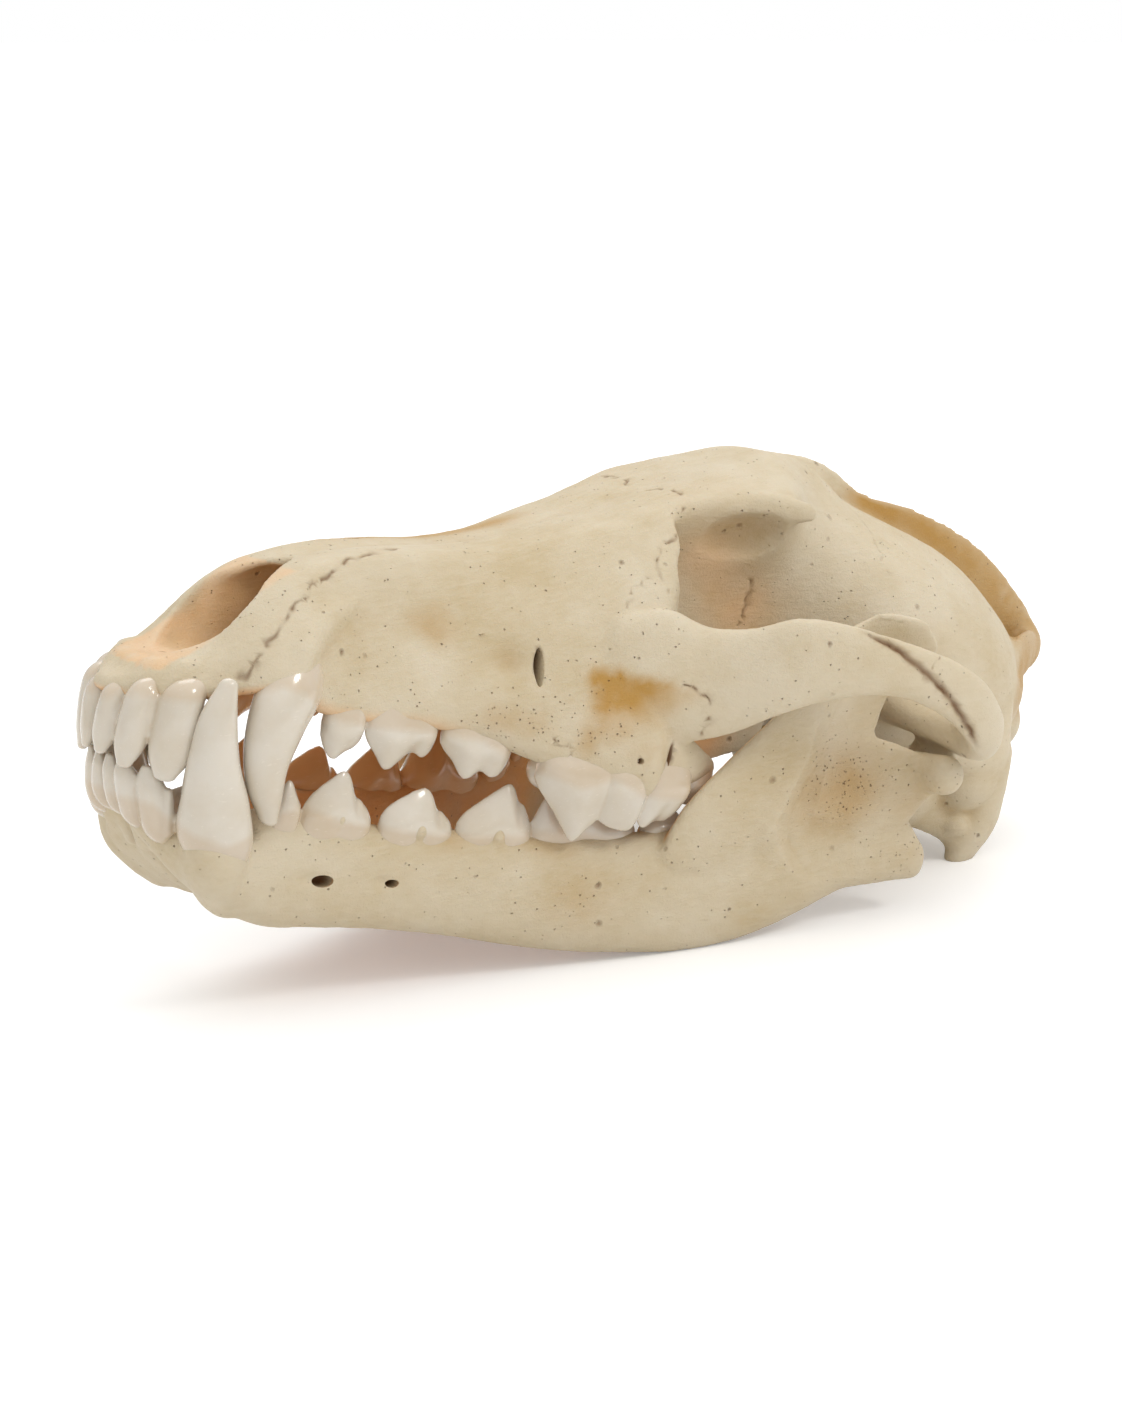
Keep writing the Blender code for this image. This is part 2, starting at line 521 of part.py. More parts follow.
def cranium_forms():
    """Closed forms that overlap into the cranium."""
    forms = [
        lofted("face", ROSTRUM, 30, 3, 1.2, 1.5),
        lofted("brain_box", BRAINCASE, 34, 3, 3.0, 7.0),
        plate("sagittal", SAGITTAL_CREST, rows=20, square=1.0),
        plate("base", SKULL_BASE, rows=12),
    ]
    for side in (-1, 1):
        forms += [
            plate("arch", CHEEK_ARCH, side, rows=30, sides=12, square=0.9),
            plate("tuber", SOCKET_TUBER, side),
            plate("nuchal", NUCHAL_CREST, side, rows=18, square=1.0),
            plate("pterygoid", PTERYGOID, side),
            ball("bulla", *BULLA, side),
            ball("occipital_condyle", *OCCIPITAL_CONDYLE, side),
            ball("postglenoid", *POSTGLENOID, side),
            ball("mastoid", *MASTOID, side),
            rod("jugular", JUGULAR_PROCESS, JUGULAR_RADII, side, rows=10),
            rod("jugular_web", JUGULAR_WEB, JUGULAR_WEB_RADII, side, up=(0.0, 0.0, 1.0)),
            rod("postorbital", POSTORBITAL, POSTORBITAL_RADII, side),
            rod("jugum", CANINE_JUGUM, CANINE_JUGUM_RADII, side, up=(0.0, 0.0, 1.0)),
        ]
    return forms


def cranium_cutters():
    """Nose cavity, notch between the nasal bones, orbits, foramina."""
    cavity = [(s, 0.0, low, high, half) for s, half, low, high in NOSE_CAVITY]
    notch = [(s, 0.0, 22.0, 44.0, half) for s, half in NOSE_NOTCH]
    made = [
        plate("cavity", cavity, rows=16, sides=12, square=0.7),
        plate("notch", notch, rows=5, sides=8, square=0.5),
        ball("foramen_magnum", *FORAMEN_MAGNUM),
    ]
    for side in (-1, 1):
        made.append(ball("infraorbital", *INFRAORBITAL, side))
        made.append(ball("orbit", *ORBIT, side, ORBIT_LEAN, rows=14, sides=18))
    return made


def jaw_forms(side):
    """Closed forms that overlap into one half of the lower jaw."""
    coronoid = swept(
        "coronoid",
        [((f + r) / 2, side * (yf + yr) / 2, z) for z, f, r, yf, yr, _ in CORONOID],
        [(r - f) / 2 for _, f, r, *_ in CORONOID],
        [half for *_, half in CORONOID],
        up=(1.0, side * 0.09, 0.0), rows=14, sides=14, square=0.85)
    (a, b, radius) = CONDYLE
    return [
        plate("body", JAW_BODY, side, rows=34, sides=12, square=0.85),
        plate("symphysis", SYMPHYSIS, side),
        plate("angle", ANGULAR_PROCESS, side),
        plate("neck", CONDYLE_NECK, side),
        coronoid,
        rod("condyle", (a, b), (radius, radius), side, rows=4),
        rod("canine_seat", CANINE_SEAT, CANINE_SEAT_RADII, side, up=(0.9, side * 0.44, 0.0)),
    ]


def spike(name, points, tall, wide, side, turn=0.0, rows=4, sides=6):
    """Crown or cusp through points from its root to its tip; turn is the row's heading in degrees."""
    heading = (math.cos(math.radians(turn)), side * math.sin(math.radians(turn)), 0.0)
    points = np.array(points, float) * (1, side, 1)
    return swept(name, points, tall, wide, up=heading, rows=rows, sides=sides, cap=0.6, steps=(0, 1))


def cusp(name, base, tip, half_long, half_wide, side, turn=0.0, rows=4, sides=6):
    """One cusp: a cone that swells above the neck, with its root sunk in the bone."""
    base, tip = np.array(base, float), np.array(tip, float)
    points = [base + (tip - base) * share for share in (-ROOT_SHARE, 0.1, 0.55, 0.96)]
    swell = (0.8, 1.0, 0.72, 0.2)
    return spike(name, points, [half_long * k for k in swell], [half_wide * k for k in swell],
                 side, turn, rows, sides)


def incisors(table, side):
    """Chisel crowns, one for each row of the table."""
    made = []
    for s, y, neck, tip_s, tip, width, depth, turn in table:
        back, deep = INCISOR_ROOT
        root = (s + back, y * 0.94, neck - math.copysign(deep, tip - neck))
        middle = ((s + tip_s) / 2, y, (neck + tip) / 2)
        points = [root, (s, y, neck), middle, (tip_s, y, tip)]
        made.append(spike("incisor", points, [width * k / 2 for k in (0.6, 0.88, 1.0, 0.6)],
                          [depth * k / 2 for k in (0.6, 1.0, 0.86, 0.3)], side, turn, 5, 6))
    return made


def canine(table, side, turn=0.0):
    """Curved fang."""
    points, tall, wide = zip(*table)
    return [spike("canine", points, tall, wide, side, turn, rows=8, sides=8)]


def premolars(table, side):
    """Blades with a main cusp and up to two lower ones behind it."""
    made = []
    for front, rear, y0, y1, neck, tip, breadth, lobes in table:
        length, rise = rear - front, tip - neck
        turn = math.degrees(math.atan2(y1 - y0, length))
        lobe_places = ((0.44, 1.0, 0.43), (0.80, 0.5, 0.19), (0.92, 0.34, 0.12))
        for share, height, reach in lobe_places[:lobes + 1]:
            s, y = front + share * length, y0 + share * (y1 - y0)
            made.append(cusp("premolar", (s, y, neck), (s, y, neck + rise * height), reach * length,
                             breadth * (0.5 if height == 1.0 else 0.42), side, turn))
    return made


def cheek_teeth(tables, side, turn):
    """Carnassials and molars from their cusps."""
    return [cusp("cheek_tooth", base, tip, long, wide, side, turn)
            for table in tables for base, tip, long, wide in table]


def upper_teeth(side):
    """Crowns of one side of the upper jaw."""
    return (incisors(UPPER_INCISORS, side) + canine(UPPER_CANINE, side)
            + premolars(UPPER_PREMOLARS, side)
            + cheek_teeth((UPPER_CARNASSIAL,), side, 18.0) + cheek_teeth((UPPER_MOLARS,), side, 0.0))


def lower_teeth(side):
    """Crowns of one side of the lower jaw."""
    return (incisors(LOWER_INCISORS, side) + canine(LOWER_CANINE, side, LOWER_CANINE_TURN)
            + premolars(LOWER_PREMOLARS, side)
            + cheek_teeth((LOWER_CARNASSIAL,), side, 14.0) + cheek_teeth((LOWER_MOLARS,), side, 14.0))


def grow(obj, pieces):
    """Join pieces to obj in one union."""
    group = bpy.data.collections.new("pieces")
    for piece in pieces:
        group.objects.link(piece)
    boolean(obj, group, "UNION")
    bpy.data.collections.remove(group)


def finish(obj, colour):
    """Trim the bone to the floor and give it its own dry bone finish."""
    trim_to_floor(obj)
    mat = bpy.data.materials.new(obj.name + "_bone")
    mat.use_nodes = True
    shader = mat.node_tree.nodes["Principled BSDF"]
    shader.inputs["Base Color"].default_value = colour
    shader.inputs["Roughness"].default_value = BONE_ROUGHNESS
    shader.inputs["Metallic"].default_value = 0.0
    obj.data.materials.clear()
    obj.data.materials.append(mat)


def clearances():
    """Forms a little larger than the lower canines and condyles, to cut their room in the skull."""
    made = []
    for side in (-1, 1):
        points, tall, wide = zip(*LOWER_CANINE)
        made.append(spike("canine_room", points, [k + CANINE_ROOM for k in tall],
                          [k + CANINE_ROOM for k in wide], side, LOWER_CANINE_TURN,
                          rows=8, sides=8))
        (a, b, radius) = CONDYLE
        made.append(rod("socket", (a, b), (radius + CONDYLE_WALL,) * 2, side, rows=4))
    return made


def part_off(whole, name, low, high, lean=0.0):
    """Take the part of whole inside a block as its own node, leaving GAP all round the block."""
    half = GAP / 2
    taken = copy_of(whole, name)
    boolean(taken, block("inner", [k + half for k in low], [k - half for k in high], lean), "INTERSECT")
    boolean(whole, block("outer", [k - half for k in low], [k + half for k in high], lean), "DIFFERENCE")
    return taken


def trim_to_floor(obj):
    """Plane off what lies below the floor, which leaves the small flats that the skull rests on."""
    bpy.ops.mesh.primitive_cube_add(size=1.0, location=(0.0, 0.0, -0.05))
    ground = bpy.context.active_object
    ground.data.transform(Matrix.Diagonal((0.4, 0.3, 0.1, 1.0)))
    boolean(obj, ground, "DIFFERENCE")


def main():
    """Build every bone."""
    for obj in list(bpy.data.objects):
        bpy.data.objects.remove(obj)
    whole = fuse("braincase", cranium_forms(), BONE_VOXEL, 3, 0)
    for cutter in cranium_cutters():
        boolean(whole, cutter, "DIFFERENCE")
    thin_to(whole, CRANIUM_FACES)
    for cutter in clearances():
        boolean(whole, cutter, "DIFFERENCE")
    for side, word in SIDES:
        low = (ARCH_FRONT_S, ARCH_INNER_Y if side > 0 else -ARCH_OUTER_Y, ARCH_LOW_Z)
        high = (ARCH_REAR_S, ARCH_OUTER_Y if side > 0 else -ARCH_INNER_Y, ARCH_TOP_Z)
        arch = part_off(whole, "zygomatic_arch_" + word, low, high)
        finish(arch, BONE_PALE)
    rostrum = part_off(whole, "rostrum", (-REACH, -REACH, -REACH), (CUT_BASE, REACH, REACH), CUT_SLOPE)
    grow(rostrum, upper_teeth(-1) + upper_teeth(1))
    finish(rostrum, BONE)
    finish(whole, BONE_WARM)
    for side, word in SIDES:
        jaw = fuse("mandible_" + word, jaw_forms(side), BONE_VOXEL * 0.8, 2, JAW_FACES)
        near, far = sorted((side * GAP / 2, side * REACH))
        boolean(jaw, block("half", (-REACH, near, -REACH), (PIVOT_S + REACH, far, REACH)), "INTERSECT")
        grow(jaw, lower_teeth(side))
        finish(jaw, BONE)


main()
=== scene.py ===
"""Wolf skull with its jaw closed: dry cream bone, glossy ivory teeth, sutures, pores and stains.

Shapes are worked out in the skull's own frame, in millimetres: s runs back from the front of the
upper jaw, y goes to the animal's right, z rises from the plane of the upper tooth sockets.
RestPose takes them to the row frame, in metres.
"""

import logging
import math
from dataclasses import dataclass
from enum import Enum
from typing import Optional, Sequence

import bmesh
import bpy
import numpy as np
from mathutils import Matrix, Vector


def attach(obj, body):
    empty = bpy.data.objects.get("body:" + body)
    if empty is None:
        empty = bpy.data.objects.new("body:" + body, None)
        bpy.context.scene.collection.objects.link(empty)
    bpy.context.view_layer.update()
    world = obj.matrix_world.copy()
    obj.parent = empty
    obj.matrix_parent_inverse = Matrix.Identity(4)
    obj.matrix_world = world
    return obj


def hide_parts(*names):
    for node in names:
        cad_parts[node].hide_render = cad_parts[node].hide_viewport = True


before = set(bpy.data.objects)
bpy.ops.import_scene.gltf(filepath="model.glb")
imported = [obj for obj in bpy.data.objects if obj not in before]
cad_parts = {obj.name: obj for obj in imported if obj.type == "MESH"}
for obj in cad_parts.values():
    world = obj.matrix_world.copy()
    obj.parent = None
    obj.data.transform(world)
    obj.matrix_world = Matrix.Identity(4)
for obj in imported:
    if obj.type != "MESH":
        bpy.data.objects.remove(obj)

LOG = logging.getLogger("wolf_skull")
Array = np.ndarray
Rows = tuple[tuple[float, ...], ...]
BODY = "root"


class Side(Enum):
    """Half of the skull, by the sign of its y."""

    LEFT = -1
    RIGHT = 1

    @property
    def word(self) -> str:
        """Lower-case name used in object names."""
        return self.name.lower()


BOTH = (Side.LEFT, Side.RIGHT)


@dataclass(frozen=True)
class RestPose:
    """How the skull's own frame lies in the row frame."""

    pitch: float = math.radians(16.0)
    pivot: float = 130.0
    centre: float = 8.1
    floor: float = -36.3

    def to_row(self, points: Array) -> Array:
        """Turn skull millimetres nose up about the pivot, then set them on the floor.

        Args:
            points: (..., 3) array of s, y, z.

        Returns:
            The same points as x, y, z in metres.
        """
        s, y, z = (np.asarray(points, float)[..., i] for i in range(3))
        c, k = math.cos(self.pitch), math.sin(self.pitch)
        x = (s - self.pivot) * c + z * k - self.centre
        up = -(s - self.pivot) * k + z * c - self.floor
        return np.stack([x, y, up], axis=-1) * 0.001


POSE = RestPose()


# Surfaces of two parameters.


def along(knots: Sequence[float], values: Sequence, at: Array) -> Array:
    """Smooth curve through values at uneven knots: each span is a cubic that keeps a shared slope.

    Args:
        knots: Rising parameter of each value.
        values: One value, point or table row for each knot.
        at: Parameters wanted.

    Returns:
        The curve at those parameters, shaped like the values.
    """
    knots, values = np.asarray(knots, float), np.asarray(values, float)
    step = np.diff(knots)[:, None]
    flat = values.reshape(len(knots), -1)
    slope = np.diff(flat, axis=0) / step
    inner = (slope[:-1] * step[1:] + slope[1:] * step[:-1]) / (step[1:] + step[:-1])
    tangent = np.vstack([slope[:1], inner, slope[-1:]])
    i = np.clip(np.searchsorted(knots, at, side="right") - 1, 0, len(knots) - 2)
    h = step[i]
    t = ((at - knots[i]) / h[:, 0])[:, None]
    out = ((2 * t**3 - 3 * t**2 + 1) * flat[i] + (t**3 - 2 * t**2 + t) * h * tangent[i]
           + (3 * t**2 - 2 * t**3) * flat[i + 1] + (t**3 - t**2) * h * tangent[i + 1])
    return out.reshape((len(at),) + values.shape[1:])


def ring_through(points: Array, per_span: int) -> Array:
    """Closed smooth ring through each row's control points, by uniform Catmull-Rom spans.

    Args:
        points: (rows, controls, axes) array.
        per_span: Points made for each control.

    Returns:
        (rows, controls * per_span, axes) array.
    """
    before, after, after2 = (np.roll(points, k, axis=1) for k in (1, -1, -2))
    t = (np.arange(per_span) / per_span)[None, None, :, None]
    p0, p1, p2, p3 = (p[:, :, None, :] for p in (before, points, after, after2))
    ring = 0.5 * (2 * p1 + (p2 - p0) * t + (2 * p0 - 5 * p1 + 4 * p2 - p3) * t**2
                  + (3 * p1 - p0 - 3 * p2 + p3) * t**3)
    return ring.reshape(points.shape[0], -1, points.shape[-1])


def domed(rings: Array, front: float, rear: float, steps: int = 5) -> Array:
    """Round off both ends of a stack of rings with quarter-circle caps.

    Args:
        rings: (rows, sides, 3) array.
        front: How far the front cap reaches.
        rear: How far the rear cap reaches.
        steps: Rings in each cap.

    Returns:
        The longer stack.
    """
    middle = rings.mean(axis=1)
    angle = np.linspace(0, math.pi / 2, steps + 2)[1:-1, None, None]

    def cap(ring: Array, core: Array, away: Array, reach: float) -> Array:
        """Rings that shrink by the cosine while they move out by the sine."""
        away = away / max(np.linalg.norm(away), 1e-9)
        return core + (ring - core) * np.cos(angle) + away * reach * np.sin(angle)

    ahead = cap(rings[0], middle[0], middle[0] - middle[1], front)[::-1]
    behind = cap(rings[-1], middle[-1], middle[-1] - middle[-2], rear)
    return np.concatenate([ahead, rings, behind])


def lofted(stations: Rows, rows: int, per_span: int, front: float, rear: float) -> Array:
    """Body lofted through stations of (s, top, side points, base), alike on both sides.

    Args:
        stations: Each row is s, the midline top, four (y, z) points down the side, the base.
        rows: Rings between the first and last station.
        per_span: Ring points for each control point.
        front: Reach of the front cap.
        rear: Reach of the rear cap.

    Returns:
        Closed stack of rings.
    """
    s = np.array([row[0] for row in stations])
    half = np.array([[(0.0, row[1]), *row[2:6], (0.0, row[6])] for row in stations])
    at = np.linspace(s[0], s[-1], rows)
    half = along(s, half, at)
    mirrored = half[:, -2:0:-1] * np.array([-1.0, 1.0])
    ring = ring_through(np.concatenate([half, mirrored], axis=1), per_span)
    station = np.broadcast_to(at[:, None, None], ring.shape[:2] + (1,))
    return domed(np.concatenate([station, ring], axis=2), front, rear)


def swept(centres: Array, tall: Sequence[float], wide: Sequence[float],
          up: tuple[float, float, float] = (0.0, 0.0, 1.0), rows: int = 60, sides: int = 28,
          square: float = 1.0, cap: float = 0.8) -> Array:
    """Oval carried along a path: the ring is up * tall * cos + across * wide * sin, powers keep sign.

    Args:
        centres: Points of the path.
        tall: Half size along up at each point.
        wide: Half size across the path at each point.
        up: Direction of the tall axis.
        rows: Rings along the path.
        sides: Points in each ring.
        square: Power on sine and cosine; under 1 makes the oval boxy.
        cap: Reach of the end caps as a share of the wide half size.

    Returns:
        Closed stack of rings.
    """
    centres = np.asarray(centres, float)
    run = np.concatenate([[0.0], np.cumsum(np.linalg.norm(np.diff(centres, axis=0), axis=1))])
    at = np.linspace(0.0, run[-1], rows)
    path = along(run, centres, at)
    sizes = np.maximum(along(run, np.stack([tall, wide], axis=1), at), 0.15)
    axis = np.asarray(up, float)
    across = np.cross(np.gradient(path, axis=0), axis)
    across /= np.linalg.norm(across, axis=1)[:, None]
    angle = np.arange(sides) * 2 * math.pi / sides
    c = np.sign(np.cos(angle)) * np.abs(np.cos(angle)) ** square
    k = np.sign(np.sin(angle)) * np.abs(np.sin(angle)) ** square
    rings = (path[:, None, :] + (sizes[:, :1] * c)[..., None] * axis
             + (sizes[:, 1:] * k)[..., None] * across[:, None, :])
    return domed(rings, sizes[0, 1] * cap, sizes[-1, 1] * cap)


def plate(rows_of: Rows, side: int = 1, rows: int = 70, sides: int = 28,
          square: float = 0.85) -> Array:
    """Sweep a table of (s, y, lower edge, upper edge, half width) on one side of the skull."""
    table = np.array(rows_of, float)
    centres = np.stack([table[:, 0], side * table[:, 1], (table[:, 2] + table[:, 3]) / 2], axis=1)
    return swept(centres, (table[:, 3] - table[:, 2]) / 2, table[:, 4], rows=rows, sides=sides,
                 square=square)


def ball(centre: Sequence[float], radii: Sequence[float], side: int = 1, rows: int = 24,
         sides: int = 32) -> Array:
    """Egg with half sizes along s, y and z: latitude rings along s."""
    angle = np.linspace(0.06, math.pi - 0.06, rows)[:, None]
    turn = np.arange(sides)[None] * 2 * math.pi / sides
    unit = np.stack([-np.cos(angle) * np.ones_like(turn), np.sin(angle) * np.cos(turn),
                     np.sin(angle) * np.sin(turn)], axis=2)
    return unit * np.array(radii) + np.array(centre) * (1, side, 1)


def rod(points: Sequence[Sequence[float]], radii: Sequence, side: int = 1,
        up: tuple[float, float, float] = (1.0, 0.0, 0.0), rows: int = 36, sides: int = 24) -> Array:
    """Tapering rod through points, with one round radius or a (tall, wide) pair at each."""
    path = np.array(points, float) * (1, side, 1)
    pairs = np.array([r if isinstance(r, tuple) else (r, r) for r in radii])
    return swept(path, pairs[:, 0], pairs[:, 1], up=up, rows=rows, sides=sides)


def sheared(form: Array, level: float, lean: float) -> Array:
    """Lean a form back: s grows by lean for each millimetre above the level."""
    out = form.copy()
    out[..., 0] += lean * (out[..., 2] - level)
    return out


def crown(front: Sequence[float], rear: Sequence[float], profile: Rows, breadth: float,
          root: float, toward: int, side: int, waist: float = 0.14, rounding: float = 0.62,
          rows: int = 96, sides: int = 44) -> Array:
    """Blade-like crown: at each step along the tooth, a ring runs from the root over the cusp line.

    The ring's height goes from minus the root to the profile's height, and its half breadth is the
    plan outline times a curve that swells above the neck and closes on the cusp line. The profile
    is straight between its knots, then blurred by a bell curve, which rounds cusps and notches.

    Args:
        front: s, y and neck z of the front end.
        rear: s, y and neck z of the rear end.
        profile: (share of the length, height above the neck) pairs, with the cusps.
        breadth: Greatest breadth.
        root: Depth that is sunk in the bone.
        toward: 1 where the cusps point up, -1 where they point down.
        side: Sign of y.
        waist: Share by which the neck is pinched between the front and the rear root.
        rounding: Width of the bell curve.
        rows: Steps along the tooth.
        sides: Points in each ring.

    Returns:
        Closed stack of rings.
    """
    start, end = np.array(front, float), np.array(rear, float)
    share = (1 - np.cos(np.linspace(0.0, math.pi, rows))) / 2
    knots, heights = zip(*profile)
    even = np.linspace(-0.25, 1.25, 451)
    bell = np.exp(-(np.linspace(-3, 3, 91) ** 2) / 2)
    spread = rounding / np.linalg.norm(end - start) / (even[1] - even[0]) / 15
    at = np.interp(even, knots, heights)
    blurred = sum(weight * np.interp(even + (k - 45) * spread * (even[1] - even[0]), even, at)
                  for k, weight in enumerate(bell)) / bell.sum()
    height = np.maximum(np.interp(share, even, blurred), 0.2)
    half = breadth / 2 * np.clip(1 - np.abs(2 * share - 1) ** 2.6, 0.0, 1.0) ** 0.5 + 0.12
    pinch = waist * np.exp(-(((share - 0.5) / 0.13) ** 2))
    angle = np.arange(sides) * 2 * math.pi / sides
    rise = (1 + np.cos(angle)) / 2
    neck = root / (root + height[:, None])
    above = np.clip((rise[None] - neck) / (1 - neck), 0.0, 1.0)
    below = np.clip((neck - rise[None]) / neck, 0.0, 1.0)
    belly = 0.9 + 0.1 * np.sin(math.pi * np.clip(above / 0.6, 0.0, 1.0))
    width = (1 - above**1.7) ** 0.7 * (1 - 0.3 * below**0.6) * np.abs(np.sin(angle))**0.25 * belly
    width *= 1 - pinch[:, None] * (1 - above) ** 2
    offset = np.sign(np.sin(angle)) * width * half[:, None]
    lift = -root + (root + height[:, None]) * rise[None]
    line = start + (end - start) * share[:, None]
    across = np.array([-(end - start)[1], (end - start)[0]])
    across /= np.linalg.norm(across)
    s = line[:, :1] + offset * across[0]
    y = line[:, 1:2] + offset * across[1]
    z = line[:, 2:] + toward * lift
    return np.stack([s, side * y, z], axis=2)


def fang(table: Sequence, side: int, turn: float = 0.0, rows: int = 90, sides: int = 48) -> Array:
    """Curved tooth through (centre, half length, half breadth) rows, tallest along its own row."""
    points, tall, wide = zip(*table)
    heading = (math.cos(math.radians(turn)), side * math.sin(math.radians(turn)), 0.0)
    return swept(np.array(points, float) * (1, side, 1), tall, wide, up=heading, rows=rows,
                 sides=sides, cap=1.0)


# Meshes.


def closed_mesh(forms: Sequence[Array]) -> tuple[Array, list]:
    """Join closed stacks of rings into one list of points and faces, each end a fan to its middle.

    Args:
        forms: Stacks of rings.

    Returns:
        Points and faces, with every form's faces pointing out.
    """
    points, faces, base = [], [], 0
    for rings in forms:
        rows, sides = rings.shape[:2]
        index = np.arange(rows * sides).reshape(rows, sides)
        turned = np.roll(index, -1, axis=1)
        quads = np.stack([index[:-1], turned[:-1], turned[1:], index[1:]], axis=-1).reshape(-1, 4)
        first, last = rows * sides, rows * sides + 1
        near = np.stack([turned[0], index[0], np.full(sides, first)], axis=-1)
        far = np.stack([index[-1], turned[-1], np.full(sides, last)], axis=-1)
        own = np.concatenate([rings.reshape(-1, 3), rings[:1].mean(axis=1), rings[-1:].mean(axis=1)])
        tris = np.concatenate([quads[:, [0, 1, 2]], quads[:, [0, 2, 3]], near, far])
        a, b, c = (own[tris[:, k]] for k in range(3))
        if np.einsum("ij,ij->i", a, np.cross(b, c)).sum() < 0:
            quads, near, far = quads[:, ::-1], near[:, ::-1], far[:, ::-1]
        faces += (quads + base).tolist() + (near + base).tolist() + (far + base).tolist()
        points.append(own)
        base += len(own)
    return np.concatenate(points), faces


def new_object(name: str, forms: Sequence[Array]) -> bpy.types.Object:
    """Object with the closed forms in one mesh, still in skull millimetres."""
    points, faces = closed_mesh(forms)
    mesh = bpy.data.meshes.new(name)
    mesh.from_pydata(points.tolist(), [], faces)
    mesh.update()
    obj = bpy.data.objects.new(name, mesh)
    bpy.context.scene.collection.objects.link(obj)
    return obj


def apply_modifiers(obj: bpy.types.Object) -> None:
    """Replace the mesh by what its modifiers make of it."""
    graph = bpy.context.evaluated_depsgraph_get()
    mesh = bpy.data.meshes.new_from_object(obj.evaluated_get(graph))
    obj.modifiers.clear()
    old, obj.data = obj.data, mesh
    bpy.data.meshes.remove(old)


def fuse(obj: bpy.types.Object, voxel: float, smooth: int) -> None:
    """Fuse overlapping forms into one skin on a grid of voxel millimetres, then relax it."""
    remesh = obj.modifiers.new("fuse", "REMESH")
    remesh.mode = "VOXEL"
    remesh.voxel_size = voxel
    relax = obj.modifiers.new("relax", "SMOOTH")
    relax.factor = 0.5
    relax.iterations = smooth
    apply_modifiers(obj)


def carve(obj: bpy.types.Object, form: Array) -> None:
    """Cut one closed form out of the object."""
    tool = new_object("tool", [form])
    cut = obj.modifiers.new("cut", "BOOLEAN")
    cut.operation = "DIFFERENCE"
    cut.solver = "MANIFOLD"
    cut.object = tool
    apply_modifiers(obj)
    bpy.data.objects.remove(tool)


def thin_to(obj: bpy.types.Object, triangles: int) -> None:
    """Collapse the shortest, flattest edges until about this many triangles are left."""
    count = sum(len(face.vertices) - 2 for face in obj.data.polygons)
    if count > triangles:
        thin = obj.modifiers.new("thin", "DECIMATE")
        thin.ratio = triangles / count
        apply_modifiers(obj)


def refine_near(obj: bpy.types.Object, away: Array, reach: float, edge: float) -> None:
    """Split the edges near a seam until they are short, so that a fine groove can be cut there.

    Args:
        obj: Triangle mesh in millimetres.
        away: Distance of each vertex from the seam.
        reach: Edges whose ends both lie nearer than this are split.
        edge: Edges shorter than this are left.
    """
    work = bmesh.new()
    work.from_mesh(obj.data)
    near = work.verts.layers.float.new("near")
    for vert, value in zip(work.verts, away):
        vert[near] = value
    for _ in range(2):
        chosen = [e for e in work.edges
                  if max(e.verts[0][near], e.verts[1][near]) < reach and e.calc_length() > edge]
        bmesh.ops.subdivide_edges(work, edges=chosen, cuts=1)
        many = [face for face in work.faces if len(face.verts) > 3]
        bmesh.ops.triangulate(work, faces=many)
    work.verts.layers.float.remove(near)
    work.to_mesh(obj.data)
    work.free()


def read_points(mesh: bpy.types.Mesh) -> Array:
    """Vertex places as an (n, 3) array."""
    points = np.empty(len(mesh.vertices) * 3)
    mesh.vertices.foreach_get("co", points)
    return points.reshape(-1, 3)


def read_normals(mesh: bpy.types.Mesh) -> Array:
    """Vertex normals as an (n, 3) array."""
    normals = np.empty(len(mesh.vertices) * 3)
    mesh.vertices.foreach_get("normal", normals)
    return normals.reshape(-1, 3)


def read_edges(mesh: bpy.types.Mesh) -> Array:
    """Vertex pairs of the edges as an (n, 2) array."""
    pairs = np.empty(len(mesh.edges) * 2, np.int64)
    mesh.edges.foreach_get("vertices", pairs)
    return pairs.reshape(-1, 2)


def write_points(mesh: bpy.types.Mesh, points: Array) -> None:
    """Put new places into the mesh."""
    mesh.vertices.foreach_set("co", np.ascontiguousarray(points, dtype=np.float32).ravel())
    mesh.update()


def write_mask(mesh: bpy.types.Mesh, name: str, values: Array) -> None:
    """Store one number for each vertex as an attribute that a material can read."""
    layer = mesh.attributes.new(name, "FLOAT", "POINT")
    layer.data.foreach_set("value", np.ascontiguousarray(values, dtype=np.float32))


def neighbour_mean(values: Array, pairs: Array) -> Array:
    """Mean of each vertex's neighbours, for one number or one point at each vertex."""
    count = np.bincount(pairs.ravel(), minlength=len(values)).astype(float)
    flat = values.reshape(len(values), -1)
    out = np.empty_like(flat)
    for k in range(flat.shape[1]):
        out[:, k] = (np.bincount(pairs[:, 0], flat[pairs[:, 1], k], len(flat))
                     + np.bincount(pairs[:, 1], flat[pairs[:, 0], k], len(flat)))
    return (out / np.maximum(count, 1)[:, None]).reshape(values.shape)


def hollow_mask(mesh: bpy.types.Mesh, reach: int, gain: float) -> Array:
    """How far each vertex lies in a hollow: its offset from the blurred surface, along its normal.

    Args:
        mesh: Mesh in millimetres.
        reach: Blur steps.
        gain: Millimetres to mask units.

    Returns:
        Mask from 0 on ridges, 0.5 on flats, to 1 in hollows.
    """
    points, pairs = read_points(mesh), read_edges(mesh)
    soft = points
    for _ in range(reach):
        soft = neighbour_mean(soft, pairs)
    depth = np.einsum("ij,ij->i", soft - points, read_normals(mesh))
    return np.clip(0.5 + depth * gain, 0.0, 1.0)


